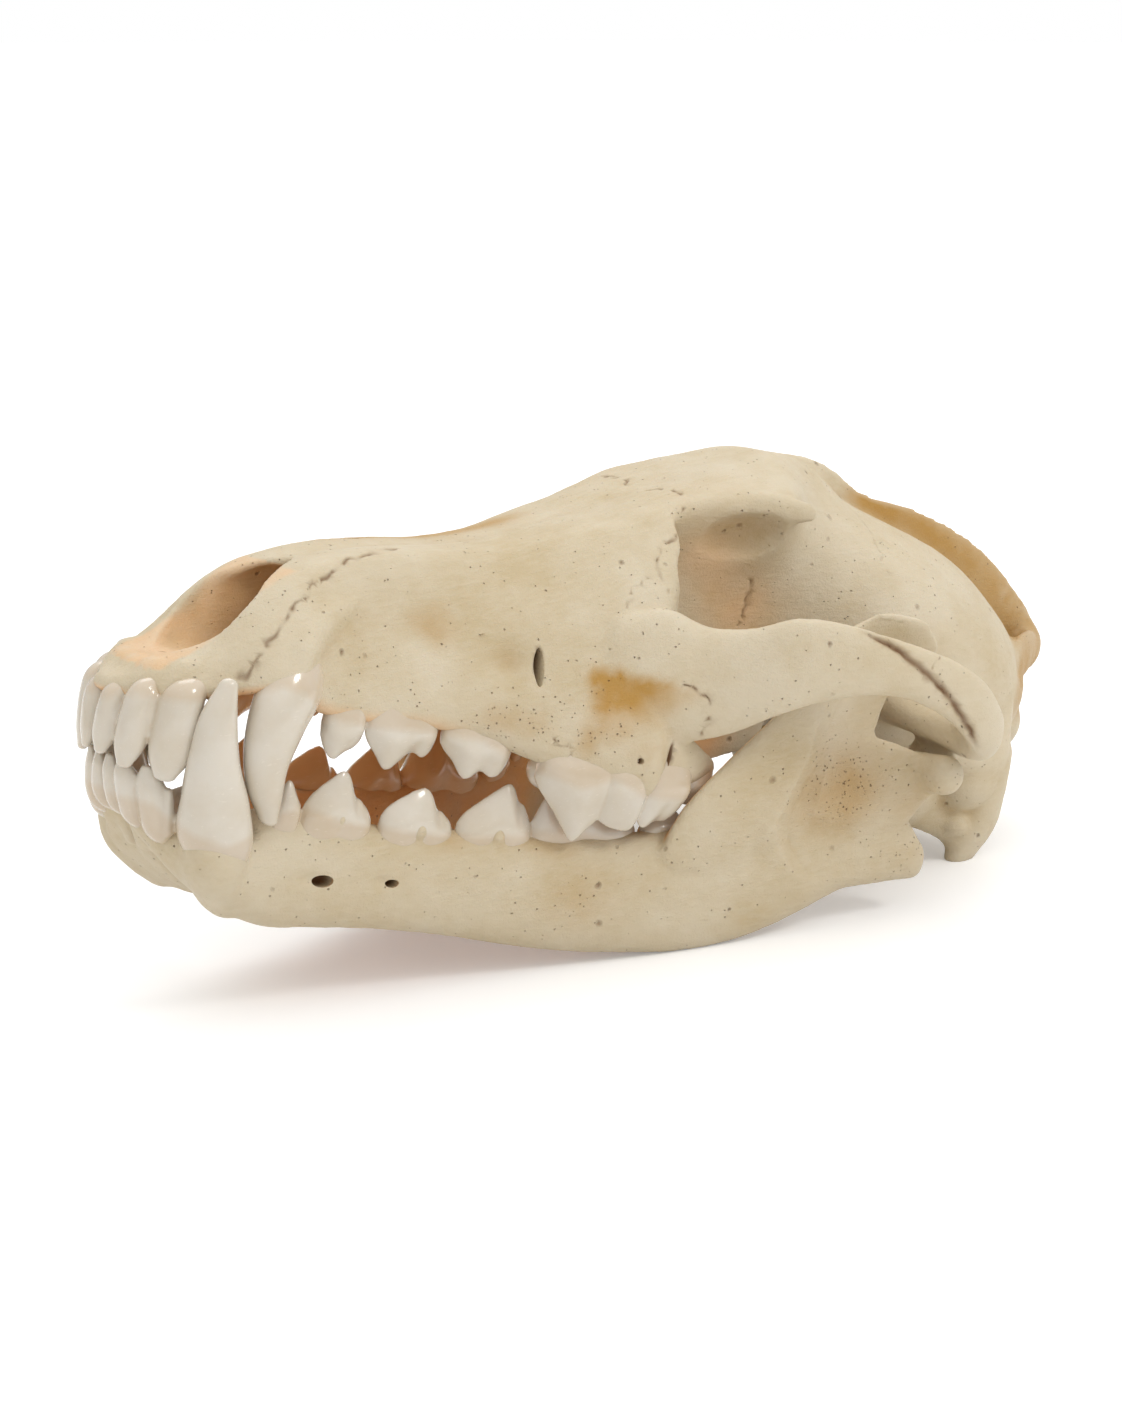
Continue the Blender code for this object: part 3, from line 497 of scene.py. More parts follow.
def drop_scraps(obj: bpy.types.Object) -> None:
    """Keep only the vertices tied by edges to the biggest piece of skin."""
    mesh = obj.data
    pairs = read_edges(mesh)
    label = np.arange(len(mesh.vertices))
    while True:
        least = label.copy()
        np.minimum.at(least, pairs[:, 0], label[pairs[:, 1]])
        np.minimum.at(least, pairs[:, 1], label[pairs[:, 0]])
        least = least[least]
        if np.array_equal(least, label):
            break
        label = least
    biggest = np.bincount(label).argmax()
    if (label != biggest).any():
        work = bmesh.new()
        work.from_mesh(mesh)
        work.verts.ensure_lookup_table()
        lost = [work.verts[i] for i in np.flatnonzero(label != biggest)]
        bmesh.ops.delete(work, geom=lost, context="VERTS")
        work.to_mesh(mesh)
        work.free()


# Relief on a finished skin.


def bump_at(points: Array, centre: Sequence[float], radii: Sequence[float]) -> Array:
    """Soft round mound of height 1: exp of minus the squared distance in units of the radii."""
    return np.exp(-(((points - np.array(centre)) / np.array(radii)) ** 2).sum(axis=1))


def path_distance(points: Array, path: Sequence[Sequence[float]]) -> Array:
    """Least distance from each point to a line through the path's points."""
    way = np.array(path, float)
    best = np.full(len(points), 1e9)
    for a, b in zip(way[:-1], way[1:]):
        step = b - a
        share = np.clip((points - a) @ step / (step @ step), 0.0, 1.0)
        best = np.minimum(best, np.linalg.norm(points - a - share[:, None] * step, axis=1))
    return best


def value_noise(points: Array, size: float, seed: int) -> Array:
    """Smooth random field from -1 to 1: random values on a lattice, blended by a smoothstep.

    Args:
        points: (n, 3) array.
        size: Pitch of the lattice.
        seed: Which field.

    Returns:
        One number for each point.
    """
    cell = np.floor(points / size)
    part = points / size - cell
    part = part * part * (3 - 2 * part)
    cell = cell.astype(np.int64)
    total = np.zeros(len(points))
    for corner in range(8):
        step = np.array([corner & 1, corner >> 1 & 1, corner >> 2 & 1])
        key = ((cell + step) * np.array([73856093, 19349663, 83492791])).sum(axis=1) + seed * 9176
        key = (key ^ (key >> 13)) * 1274126177 & 0xFFFFFFFF
        key = (key ^ (key >> 16)) & 0xFFFF
        weight = np.prod(np.where(step, part, 1 - part), axis=1)
        total += weight * (key / 32767.5 - 1)
    return total


def rough(points: Array, size: float, seed: int, layers: int = 3) -> Array:
    """Sum of noise fields, each half as coarse and half as strong as the last."""
    return sum(value_noise(points, size / 2**k, seed + k) / 2**k for k in range(layers)) / 1.75


@dataclass(frozen=True)
class Hole:
    """Small opening for a nerve or vessel: an egg or a short canal, alike on both sides."""

    centre: tuple[float, float, float]
    radii: tuple[float, float, float]
    lean: float = 0.0

    def inside(self, folded: Array) -> Array:
        """How far within the hole each point lies: 1 well below the skin, 0 at its rim."""
        gap = (folded - self.centre - (0.0, -0.5 * self.radii[1], 0.0)) / (1.25, 1.0, 1.25) / self.radii
        return np.clip((1.0 - np.linalg.norm(gap, axis=1)) * 2.5, 0.0, 1.0)

    def form(self, side: int) -> Array:
        """Cutter for one side, leaning back by lean for each millimetre of height."""
        return sheared(ball(self.centre, self.radii, side), self.centre[2], self.lean)


@dataclass(frozen=True)
class Suture:
    """Wavy seam between two bones, cut as a fine groove along a path with y made positive."""

    path: Rows
    width: float = 0.42
    depth: float = 0.45
    wave: float = 0.9
    dark: float = 0.8

    def away(self, folded: Array) -> Array:
        """Distance of each point from the seam, whose line sways with a fine noise.

        Args:
            folded: Vertex places with y made positive.

        Returns:
            One distance for each point, in millimetres.
        """
        sway = np.stack([value_noise(folded, 2.0, 31 + k) for k in range(3)], axis=1) * self.wave
        return path_distance(folded + sway, self.path)


# Bones.


@dataclass
class Cranium:
    """Face, braincase and cheek arches in one skin, with the sockets, cavities and seams cut in.

    Tables of stations hold s, midline top, four (y, z) points down the side, base. Tables of
    sweeps hold s, y, lower edge, upper edge, half width.
    """

    voxel: float = 0.62
    coarse: float = 0.9
    smooth: int = 7
    triangles: int = 150_000
    rostrum: Rows = (
        (0.8, 3.0, (1.4, 2.9), (2.8, 2.2), (3.4, 1.2), (3.0, -0.6), -0.8),
        (3.0, 4.0, (2.4, 4.1), (4.8, 3.8), (6.2, 2.6), (6.2, 0.8), 0.2),
        (7.0, 6.4, (4.8, 7.0), (8.4, 6.6), (10.8, 4.8), (10.8, 1.4), 1.6),
        (13.0, 9.4, (7.2, 10.0), (11.6, 9.4), (15.2, 6.8), (15.6, 2.6), 3.0),
        (19.0, 14.8, (9.4, 15.2), (14.0, 14.0), (17.4, 9.4), (17.2, 3.4), 4.0),
        (24.0, 21.8, (9.2, 22.4), (13.2, 20.8), (20.0, 13.0), (20.8, 5.6), 4.6),
        (30.0, 27.2, (8.0, 27.8), (13.0, 26.0), (21.4, 15.6), (22.8, 7.0), 5.2),
        (38.0, 31.6, (6.2, 32.4), (12.4, 30.0), (20.0, 17.0), (21.4, 4.0), 6.0),
        (48.0, 35.0, (5.4, 35.8), (11.6, 33.2), (18.6, 17.0), (20.2, 2.6), 6.6),
        (60.0, 37.6, (5.2, 38.3), (11.8, 35.6), (19.6, 18.0), (21.4, 3.4), 7.0),
        (77.0, 40.8, (5.4, 41.3), (12.8, 38.8), (23.0, 22.0), (25.4, 3.4), 7.2),
        (90.0, 45.0, (6.0, 45.4), (14.0, 43.0), (27.4, 25.0), (30.6, 0.8), 7.4),
        (100.0, 49.2, (7.4, 49.6), (16.6, 47.0), (31.2, 27.0), (34.6, -1.4), 7.6),
        (108.0, 52.4, (8.4, 52.8), (18.2, 50.2), (33.2, 31.0), (37.6, -0.8), 8.0),
        (115.6, 55.8, (9.6, 56.2), (19.6, 53.4), (32.0, 37.0), (38.4, -1.4), 8.6),
        (121.0, 58.4, (10.4, 58.8), (20.6, 56.0), (27.0, 42.0), (26.0, 12.0), 10.0),
    )
    braincase: Rows = (
        (98.0, 47.0, (8.0, 47.6), (14.0, 44.4), (16.0, 34.0), (12.0, 20.0), 16.0),
        (110.0, 53.4, (9.4, 53.9), (17.0, 51.0), (15.6, 38.0), (12.0, 18.0), 15.0),
        (120.0, 58.2, (10.6, 58.8), (18.6, 56.2), (14.2, 43.0), (12.0, 16.0), 13.0),
        (131.0, 63.6, (11.4, 64.0), (21.0, 61.4), (14.4, 45.0), (12.6, 14.0), 13.0),
        (141.0, 68.8, (12.4, 68.8), (24.4, 62.6), (15.4, 45.0), (13.0, 14.0), 14.0),
        (148.0, 71.8, (12.6, 71.2), (27.4, 63.0), (16.6, 44.0), (13.0, 15.0), 15.0),
        (155.0, 74.6, (11.4, 73.6), (23.4, 63.4), (17.6, 43.0), (12.6, 16.0), 16.0),
        (163.0, 75.6, (8.6, 73.8), (18.6, 62.0), (19.6, 42.0), (14.0, 18.0), 17.0),
        (173.0, 75.0, (7.4, 71.0), (20.0, 58.0), (24.8, 40.0), (17.0, 19.0), 16.0),
        (185.0, 69.0, (10.0, 65.6), (25.0, 55.0), (31.4, 38.0), (22.0, 17.0), 14.0),
        (200.0, 65.4, (11.0, 63.4), (27.6, 52.0), (34.0, 35.0), (25.0, 14.0), 12.0),
        (217.0, 61.8, (11.0, 60.0), (26.0, 48.6), (32.6, 32.0), (25.0, 13.0), 10.6),
        (231.0, 56.0, (10.0, 54.6), (22.6, 44.0), (28.6, 29.0), (22.0, 14.0), 11.0),
        (243.0, 48.6, (9.0, 47.6), (18.0, 39.0), (21.6, 28.0), (14.0, 17.0), 15.0),
        (250.6, 43.4, (8.0, 42.4), (13.4, 35.6), (14.0, 28.0), (9.4, 20.0), 18.0),
    )
    arch: Rows = (
        (104.0, 30.0, 10.0, 34.0, 4.6),
        (112.0, 34.6, 9.6, 37.6, 4.8),
        (120.0, 39.4, 10.0, 35.8, 4.6),
        (127.0, 46.0, 14.0, 37.6, 4.2),
        (133.0, 52.6, 20.0, 41.8, 3.6),
        (140.0, 58.0, 25.0, 42.8, 3.2),
        (150.0, 62.6, 28.6, 42.0, 3.0),
        (161.0, 65.0, 28.8, 40.8, 3.0),
        (171.0, 66.2, 26.2, 39.0, 3.2),
        (179.0, 66.2, 22.4, 36.0, 3.6),
        (185.4, 64.0, 18.8, 31.6, 4.2),
        (189.6, 58.0, 17.6, 28.0, 5.4),
        (190.6, 50.0, 18.8, 27.4, 7.4),
        (191.0, 41.0, 19.6, 29.0, 9.6),
        (192.0, 30.0, 20.0, 34.0, 11.0),
    )
    tuber: Rows = (
        (96.0, 29.0, -1.6, 16.0, 5.6),
        (106.0, 32.6, -1.0, 18.0, 6.2),
        (116.0, 33.6, -1.4, 16.0, 6.4),
        (126.0, 33.0, -0.6, 11.0, 6.0),
        (132.0, 32.6, 1.6, 8.0, 4.4),
    )
    sagittal: Rows = (
        (163.0, 0.0, 62.0, 75.8, 5.0),
        (176.0, 0.0, 60.0, 76.4, 3.2),
        (184.0, 0.0, 58.0, 75.0, 2.2),
        (192.0, 0.0, 54.0, 71.8, 1.7),
        (206.0, 0.0, 52.0, 70.8, 1.5),
        (220.0, 0.0, 48.0, 69.4, 1.5),
        (234.0, 0.0, 44.0, 66.2, 1.6),
        (245.0, 0.0, 40.0, 62.0, 1.9),
        (254.0, 0.0, 36.0, 56.8, 2.4),
        (260.0, 0.0, 34.0, 53.0, 3.0),
        (264.6, 0.0, 36.0, 48.4, 4.2),
    )
    nuchal: Rows = (
        (265.0, 0.0, 38.0, 47.4, 3.0),
        (256.4, 7.0, 34.6, 47.0, 2.4),
        (244.4, 15.0, 28.6, 44.6, 2.4),
        (235.6, 22.0, 22.0, 38.6, 2.8),
        (230.0, 27.6, 14.0, 31.0, 3.4),
        (225.6, 31.0, 8.0, 24.0, 4.4),
        (217.0, 32.8, 10.0, 22.0, 4.0),
        (206.0, 33.6, 14.0, 24.0, 3.6),
    )
    pterygoid: Rows = (
        (110.0, 9.6, 2.0, 20.0, 3.0),
        (122.0, 10.8, -2.6, 22.0, 2.2),
        (136.0, 11.2, -2.4, 24.0, 1.9),
        (150.0, 11.4, 1.6, 24.0, 1.9),
        (166.0, 11.6, 7.4, 22.0, 2.4),
    )
    base: Rows = (
        (150.0, 0.0, 16.0, 28.0, 9.0),
        (180.0, 0.0, 12.0, 26.0, 12.0),
        (205.0, 0.0, 8.6, 24.0, 12.0),
        (228.0, 0.0, 8.0, 22.0, 14.0),
        (241.0, 0.0, 12.0, 24.0, 12.0),
    )
    cavity: Rows = (
        (4.6, 1.6, 6.2, 22.0),
        (8.0, 4.6, 8.0, 30.0),
        (13.0, 7.4, 8.6, 34.0),
        (19.0, 10.4, 9.0, 38.0),
        (24.0, 10.2, 9.4, 40.0),
        (28.0, 8.6, 9.8, 28.4),
        (36.0, 8.4, 10.6, 29.6),
        (46.0, 8.0, 12.0, 30.0),
        (58.0, 5.0, 16.0, 27.0),
    )
    notch: tuple = ((24.0, 11.0), (31.0, 5.6), (38.0, 0.8))
    spots: tuple = (
        (0.60, (97.6, 35.0, 8.0), (2.8, 8.0, 5.4)),
        (0.52, (64.5, 18.4, 24.6), (6.4, 9.0, 6.0)),
        (0.40, (83.0, 29.0, 8.0), (9.0, 9.0, 4.6)),
        (0.34, (111.0, 39.0, 7.0), (9.0, 9.0, 5.0)),
    )
    porous: tuple = (
        (1.0, (83.0, 29.0, 8.0), (10.0, 9.0, 5.0)),
        (0.6, (98.0, 34.0, 10.0), (5.0, 9.0, 8.0)),
    )
    points_between: Rows = ((4.0, 0.0, 1.0), (4.8, 5.8, 1.6), (8.8, 11.8, 2.8), (17.4, 17.6, 2.6))
    sutures: tuple[Suture, ...] = (
        Suture(((20.2, 19.2, 7.0), (21.6, 19.3, 10.2), (23.4, 19.4, 13.3), (26.1, 18.6, 17.1),
                (28.9, 17.4, 20.6), (36.8, 13.5, 28.2), (46.0, 10.2, 34.1), (60.1, 6.7, 38.2))),
        Suture(((125.9, 3.5, 61.2), (126.8, 10.6, 61.9), (123.6, 19.0, 58.4), (122.0, 20.9, 55.4),
                (119.1, 22.9, 52.3), (115.4, 24.1, 49.3), (114.1, 25.9, 46.7), (112.7, 27.4, 44.1),
                (115.6, 30.0, 41.3)), wave=1.1),
        Suture(((112.7, 27.4, 44.1), (109.8, 27.6, 41.8), (106.6, 28.3, 38.6), (105.0, 29.6, 35.6)),
               width=0.32, depth=0.3, dark=0.5),
        Suture(((114.9, 41.7, 22.6), (119.8, 45.0, 20.6), (120.6, 44.8, 16.6), (121.4, 42.6, 11.0),
                (125.4, 40.0, 8.4)), wave=1.1),
        Suture(((141.0, 61.0, 43.6), (149.2, 64.5, 40.4), (156.9, 67.2, 37.0), (167.2, 68.9, 31.5),
                (177.1, 68.2, 24.4), (180.6, 67.0, 20.4)), width=0.8, depth=1.0, wave=0.3,
               dark=1.0),
        Suture(((163.8, 66.6, 40.4), (162.1, 67.3, 39.0), (160.4, 67.7, 37.1)), width=0.3, depth=0.3),
        Suture(((186.0, 5.0, 67.6), (184.4, 15.0, 63.0), (183.1, 23.1, 56.8), (184.0, 27.0, 50.0)),
               width=0.3, depth=0.2, dark=0.25),
        Suture(((76.4, 15.3, 37.0), (77.0, 16.4, 35.7), (78.3, 15.9, 37.1)), width=0.4, depth=0.5,
               wave=0.2),
        Suture(((90.5, 32.6, 5.7), (93.4, 33.8, 4.8), (94.7, 34.1, 2.1)), width=0.3, depth=0.3),
        Suture(((150.3, 15.3, 35.5), (150.4, 16.3, 40.3), (151.1, 17.1, 42.9), (149.0, 16.6, 47.0)),
               width=0.5, depth=0.5, dark=0.6),
    )
    holes: tuple[Hole, ...] = (
        Hole((116.9, 40.6, 6.4), (0.65, 1.6, 3.4), 0.04),
        Hole((109.2, 39.9, 4.9), (0.7, 1.4, 0.7)),
        Hole((90.0, 17.1, 43.2), (0.6, 1.2, 0.8)),
        Hole((86.9, 26.4, 19.8), (1.0, 5.0, 4.3)),
    )

    def forms(self) -> list[Array]:
        """Closed forms that overlap into the cranium."""
        made = [
            lofted(self.rostrum, 150, 12, 1.2, 1.5),
            lofted(self.braincase, 170, 12, 3.0, 5.4),
            plate(self.sagittal, rows=110, square=1.0),
            plate(self.base),
        ]
        for side in (-1, 1):
            made += [
                plate(self.arch, side, rows=110, square=0.9),
                plate(self.tuber, side),
                plate(self.nuchal, side, square=1.0),
                plate(self.pterygoid, side),
                ball((207.0, 21.0, 5.6), (14.0, 9.6, 11.4), side),
                ball((246.8, 10.6, 23.0), (8.4, 5.6, 8.0), side),
                ball((192.4, 44.0, 14.4), (2.6, 8.0, 7.0), side),
                ball((221.0, 30.0, 11.0), (8.6, 6.0, 9.0), side),
                rod(((226.4, 27.6, 18.0), (228.4, 28.4, 8.0), (229.0, 28.2, -1.0),
                     (226.6, 27.8, -10.0)), ((9.0, 6.0), (7.4, 5.0), (6.4, 4.4), (3.8, 3.0)), side),
                ball((231.0, 27.4, 1.6), (3.4, 3.0, 4.0), side),
                ball((221.4, 29.6, -1.4), (3.6, 3.0, 3.4), side),
                rod(((212.0, 24.0, 3.0), (219.0, 26.0, 0.0), (225.0, 27.6, -3.4)),
                    ((7.4, 4.6), (6.0, 3.6), (5.4, 3.2)), side, up=(0.0, 0.0, 1.0)),
                rod(((136.0, 19.0, 62.6), (145.0, 24.6, 63.6), (151.6, 28.4, 63.6)),
                    ((4.0, 2.6), (4.0, 3.0), (2.6, 2.6)), side),
                rod(((46.0, 13.0, 25.6), (37.0, 16.4, 19.0), (30.6, 18.8, 12.6)),
                    ((3.0, 3.0), (5.4, 4.0), (6.4, 5.6)), side, up=(0.0, 0.0, 1.0)),
                rod(((92.0, 26.0, 12.0), (94.0, 27.6, 3.0)), (4.6, 4.4), side),
                rod(((109.0, 31.6, 12.0), (110.4, 33.6, 3.0)), (5.2, 4.6), side),
            ]
            made += [rod(((s + 3.0, y * 0.9, z + 5.0), (s, y, z), (s - 0.6, y * 1.02, z - 4.0)),
                         (2.6, 1.9, 0.8), side) for s, y, z in self.points_between]
        return made

    def cutters(self) -> list[Array]:
        """Nose cavity, notch between the nasals, foramen magnum, infraorbital canals, sockets."""
        cavity = tuple((s, 0.0, low, high, half) for s, half, low, high in self.cavity)
        notch = tuple((s, 0.0, 22.0, 44.0, half) for s, half in self.notch)
        made = [
            plate(cavity, rows=60, sides=30, square=0.7),
            plate(notch, rows=30, sides=24, square=0.5),
            ball((262.0, 0.0, 29.0), (26.0, 9.0, 7.4)),
        ]
        for side in (-1, 1):
            made.append(sheared(ball((134.6, 35.0, 50.4), (17.4, 19.0, 13.4), side, 40, 56),
                                48.0, 0.4))
            made.append(rod(((184.6, 38.0, 11.0), (185.6, 55.6, 13.0)), (5.1, 5.1), side))
            points, tall, wide = zip(*LowerTeeth.canine)
            made.append(fang([(p, t + 0.6, w + 0.6) for p, t, w in zip(points, tall, wide)], side,
                             LowerTeeth.turn))
        return made

    def relief(self, obj: bpy.types.Object) -> None:
        """Press hollows, ridges and roughness into the skin along its normals."""
        points, normals = read_points(obj.data), read_normals(obj.data)
        folded = points * (1, 0, 1) + np.abs(points[:, 1:2]) * (0, 1, 0)
        rugged = sum(bump_at(folded, *spot) for spot in (
            ((224.0, 28.0, 0.0), (9.0, 9.0, 14.0)), ((258.0, 4.0, 50.0), (14.0, 12.0, 14.0)),
            ((240.0, 20.0, 38.0), (16.0, 9.0, 12.0)), ((110.0, 36.0, 4.0), (18.0, 8.0, 6.0))))
        push = 0.16 * rough(points, 9.0, 3) + 0.08 * rough(points, 2.2, 9)
        push += 0.42 * np.clip(rugged, 0, 1) * rough(points, 4.6, 14)
        push -= 1.7 * bump_at(folded, (81.0, 25.0, 20.6), (6.0, 10.0, 4.4))
        push -= 0.8 * bump_at(folded, (60.0, 19.0, 24.0), (12.0, 10.0, 6.0))
        write_points(obj.data, points + normals * push[:, None])

    def seams(self, obj: bpy.types.Object) -> None:
        """Refine the skin along the seams, cut their grooves and store where they run, with painted shade
        inside the nerve holes.
        """
        folded = np.abs(read_points(obj.data) * (0, 1, 0)) + read_points(obj.data) * (1, 0, 1)
        away = np.min([suture.away(folded) for suture in self.sutures], axis=0)
        refine_near(obj, away, 1.5, 0.34)
        points, normals = read_points(obj.data), read_normals(obj.data)
        folded = points * (1, 0, 1) + np.abs(points[:, 1:2]) * (0, 1, 0)
        broken = np.clip(1.0 + 0.5 * value_noise(points, 4.0, 5), 0.6, 1.0)
        push, seam = np.zeros(len(points)), np.zeros(len(points))
        for suture in self.sutures:
            shape = np.exp(-((suture.away(folded) / suture.width) ** 2)) * broken
            push = np.maximum(push, suture.depth * shape)
            seam = np.maximum(seam, shape * suture.dark)
        write_points(obj.data, points - normals * push[:, None])
        # The insides of the nerve holes join the seam mask as painted shade, drawn in the dark seam
        # colour.
        inside = [hole.inside(folded) for hole in self.holes]
        write_mask(obj.data, "seam", np.clip(np.maximum(seam, np.max(inside, axis=0)), 0, 1))

    def stains(self, mesh: bpy.types.Mesh) -> None:
        """Store where the bone is stained and porous, how hollow it lies, and where warm painted shade
        goes.
        """
        points, normals = read_points(mesh), read_normals(mesh)
        folded = points * (1, 0, 1) + np.abs(points[:, 1:2]) * (0, 1, 0)
        s, y, z = folded.T
        cloud, wisp = rough(points, 7.0, 21), rough(points, 2.6, 27)
        ridge = np.exp(-((y / 4.0) ** 2)) * np.clip((s - 182) / 12, 0, 1) * np.clip((z - 40) / 10, 0, 1)
        rear = np.clip((s - 236 - 0.55 * (z - 40)) / 8, 0, 1) * np.clip((z - 22) / 8, 0, 1) * 0.8
        # A golden strip along the top of the nose, on the right side only.
        strip = 0.75 * np.exp(-(((y - 7.6) / 3.2) ** 2)) * np.clip((s - 46) / 14, 0, 1) \
            * np.clip((104 - s) / 10, 0, 1) * np.clip((z - 30) / 4, 0, 1) * (points[:, 1] > 0)
        spots = sum(share * bump_at(folded, centre, radii) for share, centre, radii in self.spots)
        crisp = np.clip((s + 2.6 * cloud - 95.4) / 3.0, 0, 1) * np.clip((y - 29) / 3, 0, 1) \
            * np.clip((23.8 - z + 2.4 * cloud + wisp) / 3.2, 0, 1) * np.clip((124 - s) / 17, 0, 1) \
            * np.clip((z + 2.5 * cloud - 0.6 * (s - 97)) / 12, 0, 1)
        stain = np.maximum(ridge, rear) + np.maximum(spots, crisp) * (1.0 + 0.3 * wisp) + 0.18 * cloud
        stain = np.clip((stain - 0.16) / 0.84, 0, 1) + strip
        pore = sum(share * bump_at(folded, centre, radii) for share, centre, radii in self.porous)
        # Warm painted shade: inside the nose cavity, on down-facing undersides, on the palate and on the
        # inner walls of the orbit.
        cavity = np.clip((10.4 - y) / 1.0, 0, 1) * (s < 60) * (z < 30) * (z > 6)
        under = np.clip(-normals[:, 2] * 1.6, 0, 1) * np.clip((26 - y) / 6, 0, 1) * (z < 10) * (s < 150)
        patch = bump_at(folded, (149.0, 17.0, 39.0), (10.0, 7.0, 8.0)) \
            + 0.8 * bump_at(folded, (136.0, 15.0, 50.0), (10.0, 7.0, 9.0))
        plates = (y < 14) * (z < 14) * np.clip((s - 106) / 6, 0, 1) * np.clip((160 - s) / 8, 0, 1)
        warm_shade = np.maximum(np.maximum(cavity * 0.5, under), plates) + 0.45 * patch
        write_mask(mesh, "stain", np.clip(stain, 0, 1))
        write_mask(mesh, "pore", np.clip(pore * (0.8 + 0.6 * cloud), 0, 1))
        write_mask(mesh, "warm_shade", np.clip(warm_shade * (0.85 + 0.3 * cloud), 0, 1))
        write_mask(mesh, "hollow", hollow_mask(mesh, 12, 0.9))

    def build(self) -> bpy.types.Object:
        """Fuse, carve, refine, press the relief and thin the mesh."""
        obj = new_object("cranium", self.forms())
        fuse(obj, self.coarse, 2)
        for form in self.cutters():
            carve(obj, form)
        fuse(obj, self.voxel, self.smooth)
        self.relief(obj)
        thin_to(obj, self.triangles)
        for side in (-1, 1):
            for hole in self.holes:
                carve(obj, hole.form(side))
        drop_scraps(obj)
        self.seams(obj)
        self.stains(obj.data)
        return obj


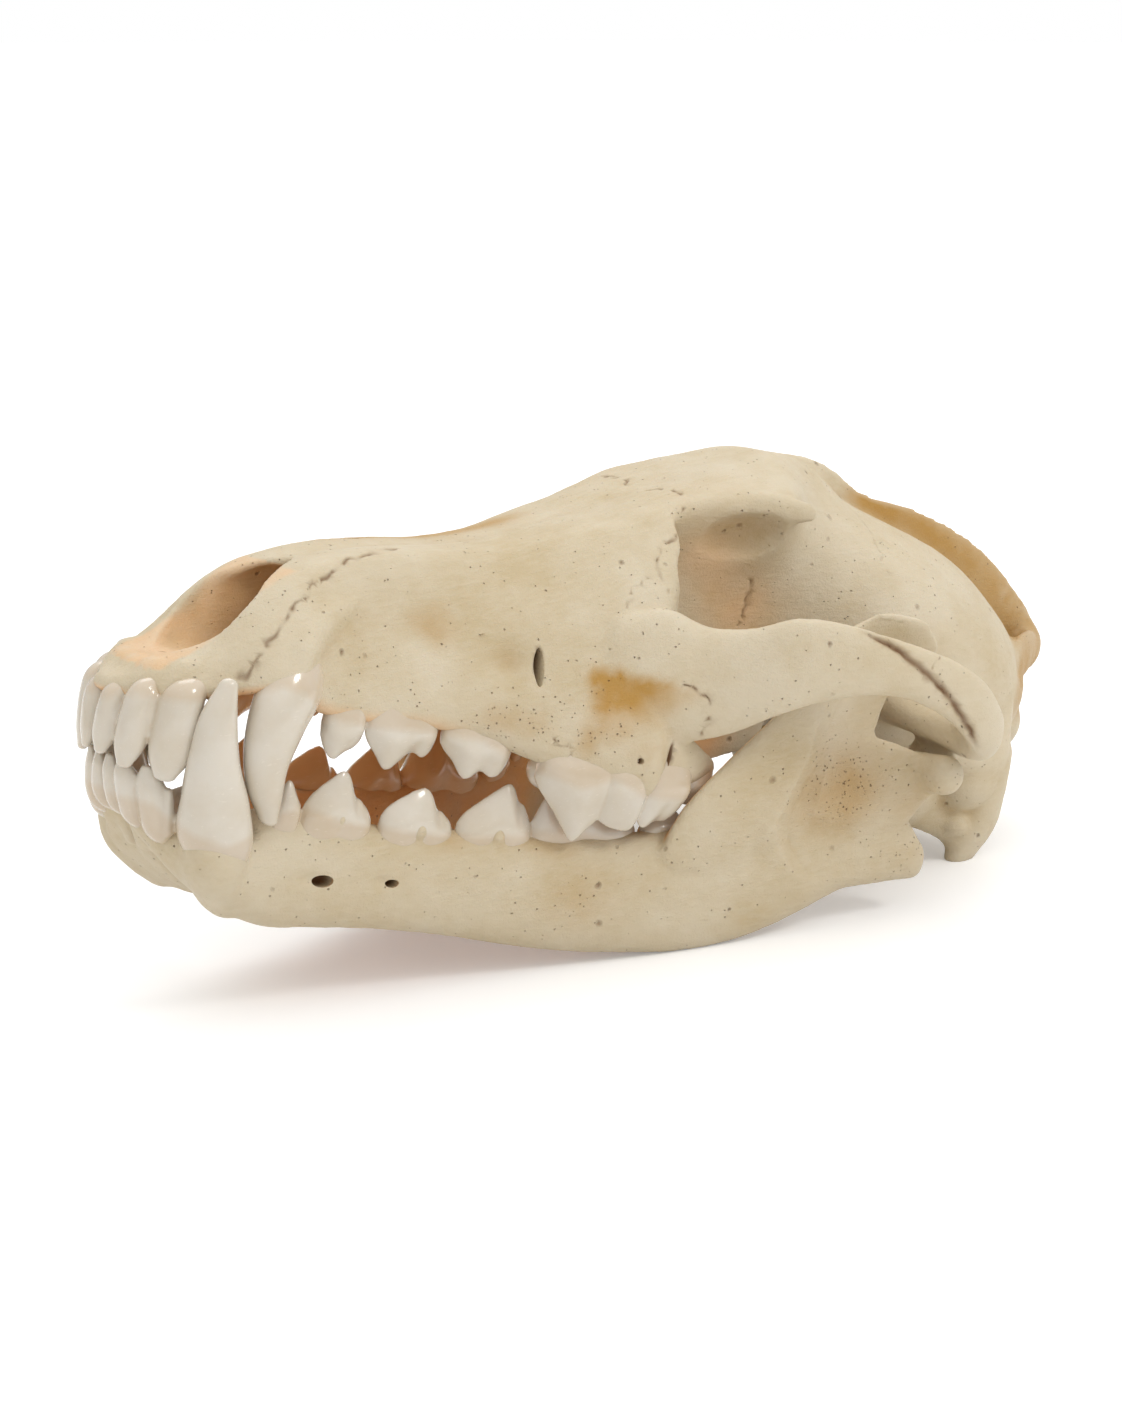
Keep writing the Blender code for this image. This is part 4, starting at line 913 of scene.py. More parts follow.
@dataclass
class Mandible:
    """Half of the lower jaw: body, ramus with its coronoid plate, condyle and angular process."""

    side: Side
    voxel: float = 0.5
    smooth: int = 6
    triangles: int = 150_000
    gap: float = 0.15
    body: Rows = (
        (11.0, 2.6, -25.0, -21.2, 2.2),
        (13.4, 4.4, -28.0, -21.6, 4.2),
        (17.4, 6.4, -31.6, -22.0, 6.2),
        (22.0, 8.6, -35.6, -22.6, 8.4),
        (27.6, 10.2, -39.0, -22.2, 9.9),
        (34.0, 11.0, -41.6, -20.0, 9.4),
        (41.0, 12.6, -43.0, -17.6, 7.6),
        (51.0, 15.6, -42.0, -18.4, 5.9),
        (67.0, 18.4, -40.6, -18.6, 5.4),
        (80.0, 20.8, -40.2, -17.2, 5.4),
        (94.0, 24.0, -40.6, -16.4, 5.6),
        (108.0, 27.8, -40.2, -14.0, 5.6),
        (123.0, 32.0, -38.6, -11.0, 5.4),
        (137.0, 36.2, -36.0, -4.0, 5.0),
        (148.0, 39.4, -32.0, 2.0, 4.4),
        (159.0, 42.0, -26.0, 6.0, 3.8),
        (168.0, 44.0, -20.0, 6.0, 3.4),
        (175.0, 45.6, -15.4, 2.0, 2.8),
    )
    symphysis: Rows = (
        (13.4, 2.6, -27.0, -21.8, 3.2),
        (20.0, 3.6, -33.0, -22.0, 4.4),
        (28.0, 4.4, -38.4, -24.0, 5.2),
        (38.0, 5.0, -41.4, -28.0, 5.6),
        (50.0, 5.8, -40.6, -32.0, 4.8),
    )
    angle: Rows = (
        (158.0, 42.0, -24.0, -12.0, 3.4),
        (170.0, 44.6, -18.0, -2.0, 3.4),
        (180.0, 46.4, -15.0, 2.0, 3.0),
        (185.4, 47.4, -13.6, 0.6, 3.0),
        (189.6, 48.2, -12.4, -3.6, 3.0),
    )
    roots: Rows = ((11.8, 2.6), (13.2, 6.6), (16.0, 10.6))
    forks: Rows = ((50.4, 19.8, -17.8), (69.0, 22.6, -18.2), (87.2, 25.8, -17.0))
    fossa_edge: Rows = ((-16, 157), (-9, 149.5), (-4, 146.8), (4, 148.5), (12, 150.6), (21, 150.4),
                        (45, 155))
    spots: tuple = (
        (0.30, (160.0, 46.0, 0.0), (9.0, 14.0, 5.0)),
        (0.22, (107.0, 33.0, -28.0), (8.0, 9.0, 6.0)),
        (0.30, (76.0, 22.0, -19.0), (5.0, 9.0, 2.6)),
        (0.24, (96.0, 26.0, -17.0), (9.0, 9.0, 2.6)),
        (0.24, (184.0, 48.0, 4.0), (6.0, 12.0, 5.0)),
    )
    holes: tuple[Hole, ...] = (Hole((48.8, 19.6, -31.0), (2.5, 3.0, 1.5), 0.3),
                               Hole((64.4, 21.8, -29.7), (1.6, 3.0, 1.05), 0.3))
    neck: Rows = (
        (158.0, 45.0, -4.0, 18.0, 3.2),
        (168.0, 46.4, -4.0, 18.6, 3.0),
        (177.0, 47.2, -3.0, 17.6, 3.2),
        (183.6, 47.8, 0.0, 16.4, 3.8),
        (186.4, 48.2, 5.0, 15.6, 4.4),
    )
    coronoid: Rows = (
        (-16.0, 122.8, 168.0, 34.0, 43.0, 4.0),
        (-4.0, 125.0, 172.0, 38.4, 44.6, 3.6),
        (8.0, 132.6, 172.0, 41.0, 46.0, 3.0),
        (20.0, 141.6, 170.0, 43.0, 47.4, 2.6),
        (29.0, 147.0, 171.0, 44.8, 48.6, 2.3),
        (36.0, 149.8, 177.6, 46.4, 49.8, 2.1),
        (41.0, 152.6, 179.6, 47.6, 50.4, 2.0),
        (45.0, 159.0, 175.4, 48.8, 50.4, 1.9),
    )

    def forms(self) -> list[Array]:
        """Closed forms that overlap into this half of the jaw."""
        side = self.side.value
        table = np.array(self.coronoid)
        middle = (table[:, 1] + table[:, 2]) / 2
        centres = np.stack([middle, side * (table[:, 3] + table[:, 4]) / 2, table[:, 0]], axis=1)
        ramus = swept(centres, (table[:, 2] - table[:, 1]) / 2, table[:, 5],
                      up=(1.0, side * 0.09, 0.0), rows=90, sides=48, square=0.85)
        made = [
            plate(self.body, side, rows=160, sides=40),
            plate(self.symphysis, side),
            plate(self.angle, side),
            plate(self.neck, side),
            ramus,
            rod(((184.6, 38.0, 11.0), (185.6, 55.6, 13.0)), (4.6, 4.6), side),
            rod(((23.2, 17.4, -26.8), (24.6, 16.4, -31.0), (28.0, 14.4, -34.6), (32.0, 11.6, -37.6)),
                ((6.9, 6.2), (6.8, 6.4), (6.0, 5.8), (5.0, 5.0)), side, up=(0.9, side * 0.44, 0.0)),
        ]
        made += [rod(((s, y, -23.0), (s + 4.6, y * 0.86, -31.0)), (2.1, 1.4), side)
                 for s, y in self.roots]
        made += [ball((s, y, z), (1.8, 1.5, 2.0), side) for s, y, z in self.forks]
        return made

    def build(self) -> bpy.types.Object:
        """Fuse the forms, part the halves, refine, press the relief."""
        side = self.side.value
        obj = new_object("jaw_" + self.side.word, self.forms())
        fuse(obj, 0.8, 2)
        wall = np.array([[(-20.0, y, -60.0), (-20.0, y, 60.0), (220.0, y, 60.0), (220.0, y, -60.0)]
                         for y in (side * self.gap, -side * 90.0)])
        carve(obj, wall)
        fuse(obj, self.voxel, self.smooth)
        self.relief(obj)
        thin_to(obj, self.triangles)
        for hole in self.holes:
            away = np.linalg.norm(read_points(obj.data) * (1, side, 1) - hole.centre, axis=1)
            refine_near(obj, away, 4.0, 0.34)
            carve(obj, hole.form(side))
        drop_scraps(obj)
        self.stains(obj.data)
        return obj

    def relief(self, obj: bpy.types.Object) -> None:
        """Press the masseteric fossa behind its ridge, and the roughness, into the skin."""
        points, normals = read_points(obj.data), read_normals(obj.data)
        side = self.side.value
        folded = points * (1, side, 1)
        s, _, z = folded.T
        outer = np.clip(normals[:, 1] * side * 1.4, 0, 1)
        ridge = s - np.interp(z, *zip(*self.fossa_edge))
        behind = np.clip(ridge / 5.0, 0, 1)
        fossa = behind * np.clip((z + 22.0) / 12.0, 0, 1) * np.clip((178.0 - s) / 12.0, 0, 1)
        push = 0.13 * rough(points, 8.0, 5) + 0.07 * rough(points, 2.0, 6)
        push -= outer * fossa * (1.2 + 1.0 * bump_at(folded, (162.0, 46.0, 4.0), (12.0, 12.0, 13.0)))
        push -= outer * 1.5 * bump_at(folded, (166.0, 49.0, 38.0), (8.6, 8.0, 5.6))
        push += outer * 0.8 * np.exp(-(((ridge + 1.0) / 3.4) ** 2)) * np.clip((z + 20.0) / 14.0, 0, 1)
        for hole in self.holes:
            lead = np.array(hole.centre) - (hole.radii[0] * 1.3, 0.0, 0.0)
            push -= 0.7 * bump_at(folded, lead, (hole.radii[0] * 1.4, 4.0, hole.radii[2] * 1.1))
        tip = bump_at(folded, (186.0, 48.0, -8.0), (9.0, 8.0, 6.0))
        push += 0.5 * tip * rough(points, 3.4, 17)
        write_points(obj.data, points + normals * push[:, None])

    def stains(self, mesh: bpy.types.Mesh) -> None:
        """Store where the bone is stained and porous and browner in the masseteric fossa, how hollow it
        lies, where warm painted shade goes, and the painted shade inside the holes.
        """
        points, normals = read_points(mesh), read_normals(mesh)
        folded = points * (1, self.side.value, 1)
        s, _, z = folded.T
        cloud = rough(points, 6.0, 8)
        outer = np.clip(normals[:, 1] * self.side.value * 2, 0, 1)
        fossa = outer * bump_at(folded, (164.0, 47.0, 8.0), (10.0, 14.0, 8.0))
        gold = sum(share * bump_at(folded, centre, radii) for share, centre, radii in self.spots)
        # Warm painted shade on the inner face of the jaw.
        inner = np.clip(-normals[:, 1] * self.side.value * 1.6, 0, 1) \
            * np.clip((s - 40) / 6, 0, 1) * np.clip((150 - s) / 12, 0, 1)
        # The masseteric fossa is made browner here; the gold spots are stains.
        write_mask(mesh, "stain", np.clip((0.5 * fossa + outer * gold) * (1 + 0.6 * cloud), 0, 1))
        ends = bump_at(folded, (186, 48, -8), (8, 8, 6)) + bump_at(folded, (185, 50, 10), (5, 9, 5))
        write_mask(mesh, "pore", np.clip(fossa + 0.6 * ends, 0, 1))
        write_mask(mesh, "warm_shade", np.clip(inner * (0.9 + 0.3 * cloud), 0, 1))
        # Painted shade inside the mental foramina, drawn in the dark seam colour.
        write_mask(mesh, "seam", np.max([hole.inside(folded) for hole in self.holes], axis=0))
        write_mask(mesh, "hollow", hollow_mask(mesh, 12, 0.9))


# Teeth.


@dataclass
class UpperTeeth:
    """Incisors, canine, premolars, carnassial and molars of one upper side."""

    side: Side
    voxel: float = 0.3
    triangles: int = 90_000
    incisors = (
        (2.8, 2.9, -0.8, 1.8, -12.0, 5.9, 5.8, 66.0, 0.0),
        (5.6, 8.5, 0.6, 4.4, -13.2, 7.0, 6.8, 52.0, 1.0),
        (11.2, 14.4, 2.2, 10.4, -14.0, 9.4, 7.0, 38.0, 0.0),
    )
    canine = (
        ((34.0, 17.6, 15.0), 4.6, 3.4),
        ((31.2, 20.6, 7.0), 7.2, 4.9),
        ((28.6, 22.0, -1.0), 6.2, 4.6),
        ((28.2, 22.0, -8.0), 4.9, 3.8),
        ((29.6, 21.6, -14.0), 3.9, 3.1),
        ((31.7, 21.2, -18.8), 2.3, 2.0),
    )
    gum = ((0, -1), (2.6, 1.7), (6.5, 1.8), (13, 3.2), (19, 1), (22, 6), (27, 8.8), (32, 8),
           (38.7, 3.7), (51, 2.7), (68, 4), (77, 3.5), (86, 0.3), (98, -2.4), (105, 0.8),
           (112, -1.8), (127, -1.3), (134.4, 4.6))

    def forms(self) -> list[Array]:
        """Closed crowns."""
        side = self.side.value
        made = incisor_forms(self.incisors, side)
        made.append(fang(self.canine, side))
        made += [
            crown((41.4, 19.2, 2.0), (51.2, 19.8, 2.0),
                  ((0, 2.4), (0.06, 4.8), (0.2, 6.6), (0.36, 8.1), (0.48, 8.1), (0.62, 6.4), (0.8, 5.4),
                   (0.94, 4.6), (1, 2.4)), 5.6, 5.0, -1, side, waist=0.0),
            crown((51.8, 19.8, 2.6), (68.9, 20.9, 2.8),
                  ((0, 2.0), (0.05, 4.0), (0.2, 6.4), (0.35, 9.5), (0.44, 9.5), (0.54, 7.6), (0.64, 5.6),
                   (0.74, 4.9), (0.86, 6.2), (0.95, 5.4), (1, 2.6)), 6.8, 5.5, -1, side),
            crown((69.8, 21.6, 2.8), (86.0, 25.0, 2.8),
                  ((0, 1.8), (0.05, 3.4), (0.22, 5.4), (0.38, 8.8), (0.48, 9.2), (0.56, 7.8),
                   (0.64, 6.4), (0.74, 7.6), (0.82, 8.0), (0.93, 7.0), (1, 3.6)),
                  7.6, 5.5, -1, side),
            crown((90.8, 28.8, 1.6), (107.4, 35.2, 1.0),
                  ((0, 4.0), (0.05, 6.4), (0.3, 10.6), (0.6, 16.8), (0.66, 16.6), (0.8, 12.8),
                   (0.9, 10.8), (1, 6.0)), 9.8, 6.0, -1, side, waist=0.0),
            crown((103.6, 34.0, 1.0), (114.8, 37.8, 0.8),
                  ((0, 6.0), (0.14, 10.6), (0.4, 11.9), (0.7, 12.1), (0.86, 11.6), (0.95, 9.0), (1, 5.0)),
                  8.6, 6.0, -1, side, waist=0.0),
            ball((94.6, 27.0, -1.4), (4.0, 4.0, 4.2), side),
            crown((112.6, 37.2, 1.0), (126.6, 36.6, 1.0),
                  ((0, 5.0), (0.1, 9.2), (0.22, 11.4), (0.32, 11.0), (0.48, 8.8), (0.68, 9.2),
                   (0.9, 6.8), (1, 3.0)), 9.4, 5.0, -1, side, waist=0.0, rounding=0.9),
            ball((119.4, 27.6, -0.6), (5.2, 7.4, 4.2), side),
            crown((126.4, 34.6, 1.4), (134.8, 34.0, 1.8),
                  ((0, 2.4), (0.25, 6.4), (0.5, 5.2), (0.75, 5.8), (1, 2.4)), 7.6, 4.5, -1, side,
                  waist=0.0, rounding=0.9),
            ball((130.4, 28.4, 0.4), (3.8, 5.0, 3.2), side),
        ]
        return made

    def build(self) -> bpy.types.Object:
        """Fuse the crowns and store their masks."""
        return build_teeth("upper_teeth_" + self.side.word, self.forms(), self.voxel,
                           self.triangles, self.gum, 1.0)


@dataclass
class LowerTeeth:
    """Incisors, canine, premolars, carnassial and molars of one lower side."""

    side: Side
    voxel: float = 0.3
    triangles: int = 90_000
    incisors = (
        (8.4, 2.3, -21.4, 4.8, -13.4, 4.6, 5.2, 66.0, 0.0),
        (10.0, 6.4, -22.8, 5.6, -13.6, 5.8, 5.8, 52.0, 0.0),
        (13.4, 10.8, -24.8, 8.8, -13.8, 6.8, 5.8, 44.0, 1.3),
    )
    canine = (
        ((27.4, 14.4, -33.0), 3.4, 2.8),
        ((22.8, 17.8, -25.4), 7.7, 5.3),
        ((20.1, 19.4, -17.0), 7.0, 4.9),
        ((17.2, 20.2, -8.0), 5.1, 3.9),
        ((16.1, 20.6, 0.0), 3.7, 2.9),
        ((16.6, 20.8, 6.2), 2.0, 1.7),
    )
    turn: float = 26.0
    gum = ((10, -21), (16, -25), (22, -26), (32, -21), (41, -17), (51, -19), (68, -19.5),
           (86.5, -17.8), (102, -14.4), (111, -14.5), (123, -12.5), (133, -7))

    def forms(self) -> list[Array]:
        """Closed crowns."""
        side = self.side.value
        made = incisor_forms(self.incisors, side)
        made.append(fang(self.canine, side, self.turn))
        made += [
            crown((35.6, 16.6, -18.0), (41.8, 17.4, -18.2),
                  ((0, 1.6), (0.16, 4.4), (0.42, 7.6), (0.76, 4.0), (1, 1.6)), 4.8, 5.0, 1, side,
                  waist=0.0),
            crown((42.4, 17.4, -19.0), (58.6, 19.0, -19.2),
                  ((0, 2.2), (0.03, 4.4), (0.17, 7.0), (0.34, 9.6), (0.46, 11.4), (0.58, 10.6),
                   (0.68, 6.6), (0.73, 5.4), (0.79, 6.2), (0.85, 4.4), (0.91, 4.4), (1, 1.6)),
                  6.2, 5.5, 1, side),
            crown((60.4, 19.4, -19.4), (78.0, 21.4, -19.2),
                  ((0, 2.4), (0.04, 4.8), (0.18, 6.8), (0.38, 9.2), (0.52, 10.3), (0.63, 9.4),
                   (0.71, 6.4), (0.76, 5.2), (0.82, 6.0), (0.87, 4.3), (0.93, 4.5), (1, 1.6)),
                  6.8, 5.5, 1, side),
            crown((78.6, 21.6, -18.8), (96.4, 24.8, -17.8),
                  ((0, 2.4), (0.03, 4.8), (0.18, 7.2), (0.4, 10.4), (0.58, 12.9), (0.68, 11.8),
                   (0.74, 8.2), (0.8, 8.8), (0.86, 8.0), (0.9, 5.6), (0.95, 5.4), (1, 2.4)),
                  7.4, 5.5, 1, side),
            crown((96.0, 24.6, -16.8), (121.2, 29.4, -13.6),
                  ((0, 3.0), (0.08, 9.6), (0.2, 11.2), (0.28, 9.6), (0.4, 14.2), (0.5, 10.8),
                   (0.62, 6.4), (0.78, 6.6), (0.9, 5.4), (1, 2.4)), 8.6, 5.5, 1, side, waist=0.2),
            crown((121.8, 30.0, -12.2), (131.4, 32.8, -9.4),
                  ((0, 1.6), (0.25, 5.0), (0.5, 4.0), (0.75, 4.6), (1, 1.6)), 7.0, 4.5, 1, side,
                  waist=0.0),
            crown((131.8, 33.2, -8.4), (136.4, 34.2, -6.0),
                  ((0, 1.0), (0.5, 3.0), (1, 1.0)), 4.4, 4.0, 1, side, waist=0.0),
        ]
        return made

    def build(self) -> bpy.types.Object:
        """Fuse the crowns and store their masks."""
        return build_teeth("lower_teeth_" + self.side.word, self.forms(), self.voxel,
                           self.triangles, self.gum, -1.0)


def incisor_forms(table: Rows, side: int) -> list[Array]:
    """Chisel crowns: an oval that is widest at mid height and thins to the biting edge.

    Args:
        table: s, y and z of the neck, s and z of the tip, width, depth, turn of the row in
            degrees, reach of the second lobe (0 for none).
        side: Sign of y.

    Returns:
        One stack of rings for each tooth.
    """
    made = []
    for s, y, neck, tip_s, tip, width, depth, turn, lobe in table:
        toward = math.copysign(1.0, tip - neck)
        path = [(s + 3.6, y * 0.94, neck - toward * 2.6), (s, y, neck),
                ((s * 0.75 + tip_s * 0.25), y, neck * 0.75 + tip * 0.25),
                ((s + tip_s) / 2, y, (neck + tip) / 2),
                ((s * 0.2 + tip_s * 0.8), y, neck * 0.2 + tip * 0.8), (tip_s, y, tip)]
        wide = np.array((0.62, 0.9, 1.0, 1.0, 0.86, 0.5)) * width / 2
        deep = np.array((0.6, 1.0, 1.06, 0.92, 0.64, 0.34)) * depth / 2
        made.append(fang(list(zip(path, wide, deep)), side, turn, rows=60, sides=40))
        if lobe:
            across = np.array((math.cos(math.radians(turn)), math.sin(math.radians(turn)), 0.0))
            near, far = (np.array(path[k]) + across * width * share
                         for k, share in ((1, 0.26), (3, 0.46)))
            end = near + (far - near) * lobe
            made.append(fang([(near, width * 0.3, depth * 0.4), ((near + end) / 2, width * 0.24,
                              depth * 0.36), (end, width * 0.14, depth * 0.2)], side, turn, 30, 30))
    return made


def build_teeth(name: str, forms: list[Array], voxel: float, triangles: int, gum: Rows,
                toward: float) -> bpy.types.Object:
    """Fuse crowns, then store how near each point is to the neck and how hollow it lies.

    Args:
        name: Name of the object.
        forms: Closed crowns.
        voxel: Grid pitch.
        triangles: Most triangles to leave.
        gum: (s, z) pairs along the edge of the sockets.
        toward: 1 where the necks are above the tips.

    Returns:
        The fused teeth.
    """
    obj = new_object(name, forms)
    fuse(obj, voxel, 6)
    thin_to(obj, triangles)
    mesh = obj.data
    points = read_points(mesh)
    edge = np.interp(points[:, 0], *zip(*gum))
    write_mask(mesh, "neck", np.clip(1.0 + (points[:, 2] - edge) * toward / 2.0, 0.0, 1.0))
    # Inward faces of the back teeth: mask for warm painted shade.
    facing = -read_normals(mesh)[:, 1] * np.sign(points[:, 1])
    write_mask(mesh, "inner", np.clip(facing * 1.5, 0, 1) * np.clip((points[:, 0] - 38) / 4, 0, 1))
    write_mask(mesh, "hollow", hollow_mask(mesh, 8, 1.6))
    return obj


# Materials.


class Sheet:
    """Small helper that adds nodes to a tree and wires them."""

    def __init__(self, tree: bpy.types.NodeTree) -> None:
        """Work on this tree."""
        self.tree = tree

    def add(self, kind: str, inputs: Optional[dict] = None, **settings) -> bpy.types.Node:
        """Add a node, set its properties, and set or wire its inputs.

        Args:
            kind: Node type.
            inputs: Socket name or index to a value or an output socket.
            **settings: Node properties.

        Returns:
            The node.
        """
        node = self.tree.nodes.new(kind)
        for key, value in settings.items():
            setattr(node, key, value)
        for key, value in (inputs or {}).items():
            if isinstance(value, bpy.types.NodeSocket):
                self.tree.links.new(value, node.inputs[key])
            else:
                node.inputs[key].default_value = value
        return node

    def math(self, operation: str, a, b=0.0, clamp: bool = False) -> bpy.types.NodeSocket:
        """Result of one sum, product or other operation."""
        return self.add("ShaderNodeMath", {0: a, 1: b}, operation=operation,
                        use_clamp=clamp).outputs[0]

    def mix(self, share, a, b, blend: str = "MIX") -> bpy.types.NodeSocket:
        """Colour between a and b."""
        node = self.add("ShaderNodeMix", data_type="RGBA", blend_type=blend)
        for index, value in ((0, share), (6, a), (7, b)):
            if isinstance(value, bpy.types.NodeSocket):
                self.tree.links.new(value, node.inputs[index])
            else:
                node.inputs[index].default_value = value
        return node.outputs[2]

    def band(self, value, low: float, high: float, to_low: float = 0.0,
             to_high: float = 1.0) -> bpy.types.NodeSocket:
        """Value taken from one range to another and clamped."""
        return self.add("ShaderNodeMapRange", {0: value, 1: low, 2: high, 3: to_low,
                                               4: to_high}).outputs[0]


def new_group(name: str, inputs: dict, outputs: dict) -> tuple[bpy.types.NodeTree, Sheet]:
    """Shader node group with named sockets.

    Args:
        name: Name of the group.
        inputs: Socket name to (type, default).
        outputs: Socket name to type.

    Returns:
        The tree and a sheet on it.
    """
    tree = bpy.data.node_groups.new(name, "ShaderNodeTree")
    for label, (kind, default) in inputs.items():
        socket = tree.interface.new_socket(label, in_out="INPUT", socket_type=kind)
        if default is not None:
            socket.default_value = default
    for label, kind in outputs.items():
        tree.interface.new_socket(label, in_out="OUTPUT", socket_type=kind)
    return tree, Sheet(tree)


FLOAT, COLOUR, VECTOR = "NodeSocketFloat", "NodeSocketColor", "NodeSocketVector"


def bone_grain_group() -> bpy.types.NodeTree:
    """Fibrous grain of dry bone: stretched fine noise over broad cloudy tone."""
    tree, sheet = new_group(
        "bone_grain",
        {"Vector": (VECTOR, None), "Scale": (FLOAT, 1.0), "Fibre": (FLOAT, 1.0)},
        {"Tone": FLOAT, "Fine": FLOAT, "Height": FLOAT})
    source = sheet.add("NodeGroupInput")
    place, scale = source.outputs["Vector"], source.outputs["Scale"]
    cloud = sheet.add("ShaderNodeTexNoise", {"Vector": place, "Detail": 4.0, "Roughness": 0.6,
                                             "Scale": sheet.math("MULTIPLY", scale, 38.0)})
    drawn = sheet.add("ShaderNodeMapping", {"Vector": place, "Scale": (0.22, 1.0, 1.0)})
    fibre = sheet.add("ShaderNodeTexNoise", {"Vector": drawn.outputs[0], "Detail": 5.0,
                                             "Roughness": 0.62,
                                             "Scale": sheet.math("MULTIPLY", scale, 900.0)})
    fine = sheet.add("ShaderNodeTexNoise", {"Vector": place, "Detail": 3.0, "Roughness": 0.7,
                                            "Scale": sheet.math("MULTIPLY", scale, 1900.0)})
    lines = sheet.math("MULTIPLY", fibre.outputs[0], source.outputs["Fibre"])
    height = sheet.math("ADD", sheet.math("MULTIPLY", lines, 0.6),
                        sheet.math("MULTIPLY", fine.outputs[0], 0.4))
    sheet.add("NodeGroupOutput", {"Tone": cloud.outputs[0], "Fine": fibre.outputs[0],
                                  "Height": height})
    return tree


def pore_group() -> bpy.types.NodeTree:
    """Scattered pinholes: pits of uneven size at random cell centres, more where Amount is high."""
    tree, sheet = new_group(
        "pinholes",
        {"Vector": (VECTOR, None), "Scale": (FLOAT, 700.0), "Amount": (FLOAT, 0.2)},
        {"Mask": FLOAT})
    source = sheet.add("NodeGroupInput")
    sway = sheet.add("ShaderNodeTexNoise", {"Vector": source.outputs["Vector"], "Scale": 900.0})
    spread = sheet.add("ShaderNodeVectorMath", {0: sway.outputs["Color"], 1: (0.0006,) * 3},
                       operation="MULTIPLY")
    moved = sheet.add("ShaderNodeVectorMath", {0: source.outputs["Vector"], 1: spread.outputs[0]},
                      operation="ADD")
    cells = sheet.add("ShaderNodeTexVoronoi", {"Vector": moved.outputs[0],
                                               "Scale": source.outputs["Scale"],
                                               "Randomness": 1.0})
    draw = sheet.add("ShaderNodeSeparateColor", {0: cells.outputs["Color"]})
    size = sheet.band(draw.outputs[1], 0.0, 1.0, 0.12, 0.36)
    pit = sheet.math("SUBTRACT", 1.0, sheet.math("DIVIDE", cells.outputs["Distance"], size), True)
    chosen = sheet.math("LESS_THAN", draw.outputs[0], source.outputs["Amount"])
    sheet.add("NodeGroupOutput", {"Mask": sheet.math("MULTIPLY", pit, chosen)})
    return tree


def hollow_shade_group() -> bpy.types.NodeTree:
    """Painted shade: darkens the colour in hollows, and leaves raised edges pale as worn."""
    tree, sheet = new_group(
        "hollow_tint",
        {"Colour": (COLOUR, (0.8, 0.8, 0.8, 1)), "Hollow": (FLOAT, 0.5),
         "Tint": (COLOUR, (0.4, 0.25, 0.1, 1)), "Depth": (FLOAT, 0.6),
         "Edge": (COLOUR, (0.9, 0.85, 0.75, 1)), "Wear": (FLOAT, 0.3)},
        {"Colour": COLOUR})
    source = sheet.add("NodeGroupInput")
    deep = sheet.band(source.outputs["Hollow"], 0.56, 0.95)
    raised = sheet.band(source.outputs["Hollow"], 0.44, 0.1)
    # Painted shade: the colour turns towards the tint in hollows.
    dark = sheet.mix(sheet.math("MULTIPLY", deep, source.outputs["Depth"]),
                     source.outputs["Colour"], source.outputs["Tint"])
    worn = sheet.mix(sheet.math("MULTIPLY", raised, source.outputs["Wear"]), dark,
                     source.outputs["Edge"])
    sheet.add("NodeGroupOutput", {"Colour": worn})
    return tree


